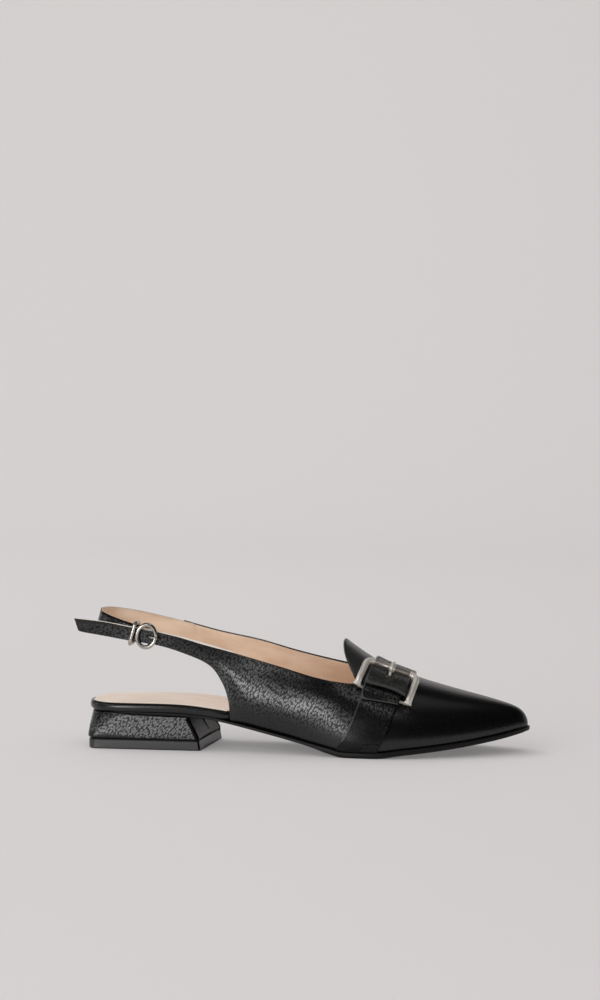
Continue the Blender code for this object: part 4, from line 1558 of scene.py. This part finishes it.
@dataclass
class LargeBuckle:
    """Open frame with flared feet, its pin, its prong and the prong's collar on the bar."""

    back_foot: Vector
    back_bar: Vector
    front_bar: Vector
    front_foot: Vector
    radius: float = 1.9 * MM
    corner: float = 4.2 * MM
    corner_run: float = 0.6 * MM
    foot_radius: float = 2.45 * MM
    foot_depth: float = 0.7 * MM
    foot_axis: tuple[float, float, float] = (0.35, 0.36, 0.86)
    flare: float = 1.3 * MM
    flare_start: float = 0.93
    pin_radius: float = 0.9 * MM
    pin_sides: int = 16
    pin_shift: tuple[float, float, float] = (0.0, 0.5 * MM, -0.9 * MM)
    prong_sharp: float = 60.0
    prong_edge: float = 0.15 * MM
    prong_below: float = 44.0
    prong_short: float = 3.0 * MM
    collar_width: float = 3.2 * MM
    collar_wall: float = 1.0 * MM

    def build(self) -> None:
        """Make the frame, the pin, the prong and its collar."""
        back = self.build_leg("back", self.back_foot, self.back_bar, ("vamp_buckle_frame",))
        front = self.build_leg("front", self.front_foot, self.front_bar, ())
        bar = straight_bar(back, front, self.radius)
        # The bar takes the darker nickel as painted shade, and so does the pin below.
        add_piece("vamp_buckle_bar", bar, SHADED_NICKEL)
        shift = Vector(self.pin_shift)
        pin = straight_bar(self.back_foot + shift, self.front_foot + shift, self.pin_radius, self.pin_sides)
        add_piece("vamp_buckle_pin_metal", pin, SHADED_NICKEL, ("vamp_buckle_pin",))
        prong = Cage("vamp_buckle_prong", self.prong_sharp).bevelled(self.prong_edge)
        self.shorten(prong)
        subdivide(add_piece("vamp_buckle_prong_metal", prong, NICKEL, ("vamp_buckle_prong",)))
        collar = bmesh.new()
        middle = self.bar_middle()
        half = (self.front_bar - self.back_bar).normalized() * self.collar_width / 2
        wide = self.radius + self.collar_wall
        turned(collar, middle - half, middle + half, wide, wide)
        add_piece("vamp_buckle_collar", collar, NICKEL)

    def bar_middle(self) -> Vector:
        """The middle of the bar."""
        return (self.back_bar + self.front_bar) / 2

    def build_leg(self, name: str, foot: Vector, top: Vector, nodes: Sequence[str]) -> Vector:
        """Make a leg with its round corner, and the flared foot that it stands on.

        Args:
            name: Which leg it is.
            foot: The middle of its foot.
            top: The corner between the leg and the bar.
            nodes: The CAD nodes that the leg stands for.

        Returns:
            The place past the corner where the bar begins.
        """
        inwards = self.bar_middle() - top
        leg = (top - foot).normalized()
        cut = self.corner * math.tan(leg.angle(inwards) / 2)
        end = top + inwards.normalized() * (cut + self.corner_run)
        rod = Rod(foot, leg, self.radius)
        rod.through([top, end], self.corner)
        add_piece(f"vamp_buckle_{name}_leg", rod.finish(), NICKEL, nodes)
        disc = bmesh.new()
        axis = Vector(self.foot_axis).normalized()
        neck = foot + (axis + leg) / 2 * self.flare
        turned(disc, foot - axis * self.foot_depth, foot, self.foot_radius, self.foot_radius)
        turned(disc, foot, neck, self.foot_radius * self.flare_start, self.radius)
        # The feet take the paler nickel as a painted highlight.
        add_piece(f"vamp_buckle_{name}_foot", disc, HIGHLIGHT_NICKEL)
        return end

    def shorten(self, prong: bmesh.types.BMesh) -> None:
        """Draw the prong's low end up under the strap's tip.

        Args:
            prong: The prong, whose points are moved.
        """
        low = min(prong.verts, key=lambda vert: vert.co.z).co.copy()
        high = max(prong.verts, key=lambda vert: vert.co.z).co.copy()
        limit = shoe(0.0, 0.0, self.prong_below).z
        move = (high - low).normalized() * self.prong_short
        bmesh.ops.translate(prong, verts=[vert for vert in prong.verts if vert.co.z < limit], vec=move)


@dataclass
class SmallBuckle:
    """Oval ring, its set-back bar, its prong and the keeper behind it."""

    centre: Vector
    half_length: float = 5.6 * MM
    half_height: float = 6.6 * MM
    wire: float = 1.1 * MM
    wire_sides: int = 18
    ring_steps: int = 56
    lean: float = 12.0
    bar_depth: float = 5.9 * MM
    bar_wire: float = 0.8 * MM
    bar_sides: int = 16
    bar_corner: float = 1.6 * MM
    keeper_slant: float = 0.297
    keeper_wide: float = 1.05

    def build(self) -> None:
        """Make the ring with its bar, the prong and the keeper."""
        add_piece("sling_buckle_ring", self.ring(), POLISHED_NICKEL, ("sling_buckle_frame",))
        up = Vector((0.0, 0.0, self.half_height))
        back = Vector((0.0, self.bar_depth, 0.0))
        rod = Rod(self.centre + up, back, self.bar_wire, self.bar_sides)
        rod.through([self.centre + up + back, self.centre - up + back, self.centre - up], self.bar_corner)
        add_piece("sling_buckle_bar", rod.finish(), POLISHED_NICKEL)
        prong = Cage("sling_buckle_prong").solid()
        keeper = Cage("sling_buckle_keeper").solid()
        self.widen(keeper)
        for node, shape in (("sling_buckle_prong", prong), ("sling_buckle_keeper", keeper)):
            subdivide(add_piece(f"{node}_metal", shape, POLISHED_NICKEL, (node,)))

    def ring(self) -> bmesh.types.BMesh:
        """A round wire spun to a circle, drawn out to an oval, leaned and put in its place.

        Returns:
            The oval ring.
        """
        ring = bmesh.new()
        bmesh.ops.create_circle(
            ring,
            cap_ends=False,
            radius=self.wire,
            segments=self.wire_sides,
            matrix=Matrix.Translation((self.half_length, 0.0, 0.0)),
        )
        bmesh.ops.spin(
            ring,
            geom=[*ring.verts, *ring.edges],
            cent=(0.0, 0.0, 0.0),
            axis=(0.0, 1.0, 0.0),
            angle=2 * math.pi,
            steps=self.ring_steps,
            use_merge=True,
        )
        bmesh.ops.remove_doubles(ring, verts=ring.verts, dist=WELD)
        bmesh.ops.recalc_face_normals(ring, faces=ring.faces)
        bmesh.ops.scale(ring, vec=(1.0, 1.0, self.half_height / self.half_length), verts=ring.verts)
        bmesh.ops.rotate(ring, verts=ring.verts, matrix=Matrix.Rotation(math.radians(self.lean), 3, "Y"))
        bmesh.ops.translate(ring, verts=ring.verts, vec=self.centre)
        return ring

    def widen(self, keeper: bmesh.types.BMesh) -> None:
        """Make the slanting keeper a flat strip, wider than it is deep.

        Args:
            keeper: The keeper, whose points are moved.
        """
        middle = sum((vert.co for vert in keeper.verts), Vector()) / len(keeper.verts)
        for vert in keeper.verts:
            line = middle.x + self.keeper_slant * (vert.co.z - middle.z)
            vert.co.x = line + (vert.co.x - line) * self.keeper_wide


@dataclass
class Bottom:
    """Outsole, insole board with its round rand, and sock."""

    sole_sharp: float = 40.0
    sole_edge: float = 0.25 * MM
    sock_sharp: float = 35.0
    sock_edge: float = 0.2 * MM
    top_facing: float = 0.5
    rand_sides: int = 16
    rand_middle: float = 45.0
    rand_depth: float = 1.5 * MM
    rand_height: float = 2.7 * MM
    rand_out: float = 0.2 * MM
    rand_drop: float = 2.5 * MM
    rand_end: float = 93.0
    back_rise: float = 1.0 * MM
    back_run: float = 16.0
    inner_turn: tuple[float, float] = (-5.0, 15.0)
    inner_drop: float = 0.6 * MM
    seat_drop: float = 1.2 * MM
    seat_from: float = 84.0
    seat_to: float = 100.0

    def build(self) -> None:
        """Make the three layers from their solids."""
        tread = Cage("outsole", self.sole_sharp).bevelled(self.sole_edge)
        sole = add_piece("sole", tread, SOLE_LEATHER, ("outsole",))
        wrap = Cage("insole_board").solid()
        cover = Cage("insole", self.sock_sharp).bevelled(self.sock_edge)
        for shape in (wrap, cover):
            self.settle(shape)
        board = add_piece("board_wrap", wrap, BOARD_LEATHER, ("insole_board",))
        sock = add_piece("sock", cover, SOCK, ("insole",))
        tall = self.rand_height / self.rand_depth
        rand = drawn(self.rand_path(), self.rand_depth, self.rand_sides, tall)
        edge = add_piece("board_rand", rand, BOARD_LEATHER)
        for piece in (sole, board, sock, edge):
            subdivide(piece)

    def settle(self, shape: bmesh.types.BMesh) -> None:
        """Press the upper side of a layer into the heel seat.

        Args:
            shape: The layer, whose points are moved.
        """
        for vert in shape.verts:
            along = measured(vert.co).x
            if vert.normal.z > 0.0:
                vert.co.z -= self.seat_drop * (1.0 - smooth_share(self.seat_from, self.seat_to, along))

    def rand_path(self) -> list[Vector]:
        """A line outside the sock's upper edge round the heel, as far as the quarters.

        Returns:
            The rand's middle line.
        """
        shape = Cage("insole").solid()
        self.settle(shape)
        top = {face for face in shape.faces if face.normal.z > self.top_facing}
        edges = {edge for edge in shape.edges if len(top.intersection(edge.link_faces)) == 1}
        start = max((vert for edge in edges for vert in edge.verts), key=lambda vert: vert.co.x)
        middle = shoe(self.rand_middle, 0.0, 0.0)
        path = []
        for vert in closed_loop(start, edges):
            along, across, _ = measured(vert.co)
            if along < self.rand_end:
                out = Vector((vert.co.x - middle.x, vert.co.y - middle.y, 0.0)).normalized()
                inner = smooth_share(*self.inner_turn, across)
                back = 1.0 - smooth_share(0.0, self.back_run, along)
                rise = self.back_rise * back * (1.0 - inner) - self.inner_drop * inner
                path.append(vert.co + out * self.rand_out + Vector((0.0, 0.0, rise - self.rand_drop)))
        shape.free()
        return path


@dataclass
class Heel:
    """Covered heel block with painted front corners and a breast seam, on its rubber lift."""

    block_sharp: float = 30.0
    block_edge: float = 0.4 * MM
    lift_sharp: float = 40.0
    lift_edge: float = 0.5 * MM
    top_facing: float = 0.7
    lift_paint: float = 0.6 * MM
    block_paint: float = 1.4 * MM
    lift_sink: float = 0.4 * MM
    block_sink: float = 0.8 * MM
    lift_heights: tuple[float, ...] = (0.9, 5.0)
    block_heights: tuple[float, ...] = (7.2, 11.0, 15.0, 18.3)
    ray_from: float = 120.0
    corner_across: float = 24.0
    corner_back: float = 3.0 * MM
    corner_side: float = 60.0
    seam_y: float = 6.0
    seam_heights: tuple[float, ...] = (8.5, 11.5, 15.0, 18.3)
    seam_widths: tuple[float, ...] = (0.2 * MM, 0.35 * MM, 0.55 * MM, 0.8 * MM)
    welt_bead: float = 0.4 * MM
    welt_run: tuple[float, float] = (10.0, 60.0)
    welt_off: float = 5.0
    breast_facing: float = 0.6
    breast_rim: float = 0.4 * MM
    side_rim: float = 10.0 * MM

    def build(self) -> None:
        """Make the cover, the lift, the painted corners and the seam."""
        cover = Cage("heel_block", self.block_sharp).bevelled(self.block_edge)
        self.mark_breast(cover)
        block = add_piece("heel_cover", cover, HEEL_LEATHER, ("heel_block",))
        rubber = Cage("heel_top_lift", self.lift_sharp).bevelled(self.lift_edge)
        lift = add_piece("heel_lift", rubber, RUBBER, ("heel_top_lift",))
        for piece in (block, lift):
            subdivide(piece)
        block_face = finished_mesh(block)
        lift_face = finished_mesh(lift)
        seam = drawn(self.breast_line(block_face), self.seam_widths)
        add_piece("heel_breast_seam", seam, CORNER_PAINT)
        for name, side in (("outer", -1), ("inner", 1)):
            low = self.front_corner(lift_face, side, self.lift_heights, self.lift_sink)
            high = self.front_corner(block_face, side, self.block_heights, self.block_sink)
            widths = [self.lift_paint] * len(low) + [self.block_paint] * len(high)
            corner = drawn([*low, *high], widths)
            add_piece(f"heel_corner_paint_{name}", corner, CORNER_PAINT)
            bead = drawn(self.top_edge(side), self.welt_bead)
            subdivide(add_piece(f"heel_welt_{name}", bead, BOARD_LEATHER), 1)

    def mark_breast(self, cover: bmesh.types.BMesh) -> None:
        """Keep the grain for the sides: the breast counts as near an edge, which stays calm and matt.

        Args:
            cover: The block's cage.
        """
        layer = cover.verts.layers.float.new("rim")
        for vert in cover.verts:
            vert[layer] = self.breast_rim if vert.normal.x > self.breast_facing else self.side_rim

    def top_edge(self, side: int) -> list[Vector]:
        """The block's upper edge along one side.

        Args:
            side: -1 for the outer side, 1 for the inner one.

        Returns:
            Places along the edge, from the back to the front.
        """
        shape = Cage("heel_block").solid()
        top = {face for face in shape.faces if face.normal.z > self.top_facing}
        edges = [edge for edge in shape.edges if len(top.intersection(edge.link_faces)) == 1]
        verts = {vert for edge in edges for vert in edge.verts if measured(vert.co).y * side > self.welt_off}
        first, last = self.welt_run
        places = [vert.co.copy() for vert in verts if first < measured(vert.co).x < last]
        shape.free()
        return sorted(places, key=lambda place: place.x)

    def front_corner(self, face: BVHTree, side: int, heights: Sequence[float], sink: float) -> list[Vector]:
        """Places up a front corner of the lift or the block, where its breast and its side meet.

        Args:
            face: The finished piece.
            side: -1 for the outer side, 1 for the inner one.
            heights: Heights above the floor in millimetres.
            sink: How far the places lie behind both faces.

        Returns:
            The places, from low to high.
        """
        beside = shoe(0.0, self.corner_side * side, 0.0).y
        inwards = Vector((0.0, -side, 0.0))
        found = []
        for z in heights:
            breast = face.ray_cast(shoe(self.ray_from, self.corner_across * side, z), BACKWARDS)[0]
            flank = face.ray_cast(Vector((breast.x - self.corner_back, beside, breast.z)), inwards)[0]
            found.append(Vector((breast.x - sink, flank.y - side * sink, breast.z)))
        return found

    def breast_line(self, block: BVHTree) -> list[Vector]:
        """Places of the seam down the breast, from low to high."""
        starts = [shoe(self.ray_from, self.seam_y, z) for z in self.seam_heights]
        return [block.ray_cast(start, BACKWARDS)[0] for start in starts]


# Studio


@dataclass
class AreaLamp:
    """A soft lamp."""

    name: str
    place: tuple[float, float, float]
    target: tuple[float, float, float]
    size: tuple[float, float]
    power: float
    role: Role

    def build(self) -> None:
        """Hang the lamp and point it."""
        light = bpy.data.lights.new(self.name, "AREA")
        light.shape = "RECTANGLE"
        light.size, light.size_y = self.size
        light.energy = self.power
        lamp = bpy.data.objects.new(self.name, light)
        lamp.visible_camera = False
        lamp.visible_glossy = self.role is Role.SHINE
        lamp.visible_diffuse = self.role is Role.ROOM
        lamp.location = self.place
        aim = Vector(self.target) - Vector(self.place)
        lamp.rotation_euler = aim.to_track_quat("-Z", "Y").to_euler()
        bpy.context.scene.collection.objects.link(lamp)


@dataclass
class Studio:
    """Pale sweep, soft lamps and the camera."""

    azimuth: float = 11.0
    elevation: float = 6.6
    distance: float = 1.8
    scale: float = 1.70
    aim: tuple[float, float, float] = (131.0, 0.0, 30.0)
    aim_pixel: tuple[float, float] = (308.8, 697.0)
    image: tuple[int, int] = (600, 1000)
    sensor: float = 36.0
    floor_half: float = 4.0
    sweep_back: float = 2.6
    sweep_height: float = 1.7
    sweep_round: float = 0.9
    sweep_steps: int = 16
    ambient: float = 0.48
    air_colour: Colour = (1.0, 0.98, 0.97)
    sight: float = 50.0

    def build(self) -> None:
        """Lay the sweep, hang the lamps and set the camera."""
        self.build_sweep()
        self.build_lamps()
        self.build_air()
        self.build_camera()

    def build_sweep(self) -> None:
        """Floor that turns up into the wall behind the shoe."""
        shape = bmesh.new()
        bmesh.ops.create_grid(shape, x_segments=1, y_segments=1, size=self.floor_half)
        far = max(vert.co.y for vert in shape.verts)
        bmesh.ops.translate(shape, verts=shape.verts, vec=(0.0, self.sweep_back - far, 0.0))
        behind = {vert for vert in shape.verts if vert.co.y > self.sweep_back - WELD}
        edges = [edge for edge in shape.edges if behind.issuperset(edge.verts)]
        made = bmesh.ops.extrude_edge_only(shape, edges=edges)
        raised = [part for part in made["geom"] if isinstance(part, bmesh.types.BMVert)]
        bmesh.ops.translate(shape, verts=raised, vec=(0.0, 0.0, self.sweep_height))
        fold = [edge for edge in shape.edges if len(edge.link_faces) == 2]
        bmesh.ops.bevel(
            shape,
            geom=fold,
            offset=self.sweep_round,
            affect="EDGES",
            segments=self.sweep_steps,
            profile=0.5,
            material=-1,
        )
        mesh = bpy.data.meshes.new("studio_sweep")
        shape.to_mesh(mesh)
        shape.free()
        mesh.materials.append(PAPER.material())
        mesh.shade_smooth()
        sweep = bpy.data.objects.new("studio_sweep", mesh)
        bpy.context.scene.collection.objects.link(sweep)

    def build_lamps(self) -> None:
        """Three large lamps for the room, and six that only shine in the leather and the metal."""
        lamps = (
            AreaLamp("sky_lamp", (-0.9, 1.2, 2.3), (0.0, 0.1, 0.0), (2.4, 1.6), 13.0, Role.ROOM),
            AreaLamp("wall_lamp", (-1.9, 0.3, 2.3), (-0.5, 2.6, 0.6), (2.4, 1.2), 15.0, Role.ROOM),
            AreaLamp("fill_lamp", (-0.8, -2.2, 1.0), (0.0, 0.0, 0.05), (2.0, 1.4), 24.0, Role.ROOM),
            AreaLamp("low_left_lamp", (-1.06, -1.74, 0.22), (0.0, 0.0, 0.03), (0.66, 0.34), 8.9, Role.SHINE),
            AreaLamp("corner_lamp", (-1.6, -1.0, 1.0), (-0.1, 0.0, 0.03), (0.9, 0.9), 2.4, Role.SHINE),
            AreaLamp("heel_lamp", (-0.75, -1.75, 0.72), (-0.08, 0.0, 0.02), (0.7, 0.3), 2.2, Role.SHINE),
            AreaLamp("overhead_lamp", (0.05, 0.1, 2.2), (0.05, 0.0, 0.0), (1.5, 1.5), 3.2, Role.SHINE),
            AreaLamp("left_lamp", (-2.0, 0.1, 0.5), (0.0, 0.0, 0.06), (1.0, 0.9), 2.4, Role.SHINE),
            AreaLamp("front_top_lamp", (0.22, -1.25, 1.65), (0.05, 0.0, 0.03), (0.5, 0.3), 1.3, Role.SHINE),
        )
        for lamp in lamps:
            lamp.build()

    def build_air(self) -> None:
        """Fill the room with an even light that the glossy surfaces don't mirror."""
        world = bpy.data.worlds.new("studio_air")
        bpy.context.scene.world = world
        world.use_nodes = True
        background = world.node_tree.nodes["Background"]
        background.inputs["Color"].default_value = (*self.air_colour, 1.0)
        background.inputs["Strength"].default_value = self.ambient
        world.cycles_visibility.glossy = False
        bpy.context.scene.view_settings.view_transform = "Standard"

    def build_camera(self) -> None:
        """Camera that puts the aimed point on its pixel, without lens shift."""
        azimuth = math.radians(self.azimuth)
        elevation = math.radians(self.elevation)
        ahead = Vector((
            -math.sin(azimuth) * math.cos(elevation),
            math.cos(azimuth) * math.cos(elevation),
            -math.sin(elevation),
        ))
        target = shoe(*self.aim)
        focal = self.scale * self.distance / MM
        width, height = self.image
        right_off = (self.aim_pixel[0] - width / 2) / focal
        down_off = (self.aim_pixel[1] - height / 2) / focal
        look = ahead.to_track_quat("-Z", "Y").to_matrix()
        pitch = Matrix.Rotation(math.atan(down_off), 3, "X")
        yaw = Matrix.Rotation(math.atan(right_off), 3, "Y")
        data = bpy.data.cameras.new("studio_camera")
        data.sensor_width = self.sensor
        data.lens = focal * math.cos(math.atan(down_off)) * self.sensor / height
        data.clip_end = self.sight
        camera = bpy.data.objects.new("studio_camera", data)
        turn = (look @ pitch @ yaw).to_4x4()
        camera.matrix_world = Matrix.Translation(target - ahead * self.distance) @ turn
        bpy.context.scene.collection.objects.link(camera)
        bpy.context.scene.camera = camera


def main() -> None:
    """Build the shoe's pieces in the order they are put together, then the studio."""
    logging.basicConfig(level=logging.INFO, format="%(name)s %(message)s")
    for found in list(bpy.data.objects):
        if found.type in {"CAMERA", "LIGHT"} or found.name == "Cube":
            bpy.data.objects.remove(found, do_unlink=True)
    foot = shoe(130.0, 0.0, 25.0)
    ankle = shoe(45.0, 0.0, 70.0)
    Bottom().build()
    Heel().build()
    Upper(foot).build()
    SlingStrap(ankle).build()
    InstepBand(foot).build()
    LargeBuckle(
        back_foot=shoe(166.0, -34.2, 42.2),
        back_bar=shoe(169.4, -18.3, 55.0),
        front_bar=shoe(198.1, -15.5, 44.5),
        front_foot=shoe(195.6, -34.6, 31.4),
    ).build()
    SmallBuckle(centre=shoe(40.0, -29.3, 66.8)).build()
    Studio().build()


if __name__ == "__main__":
    main()
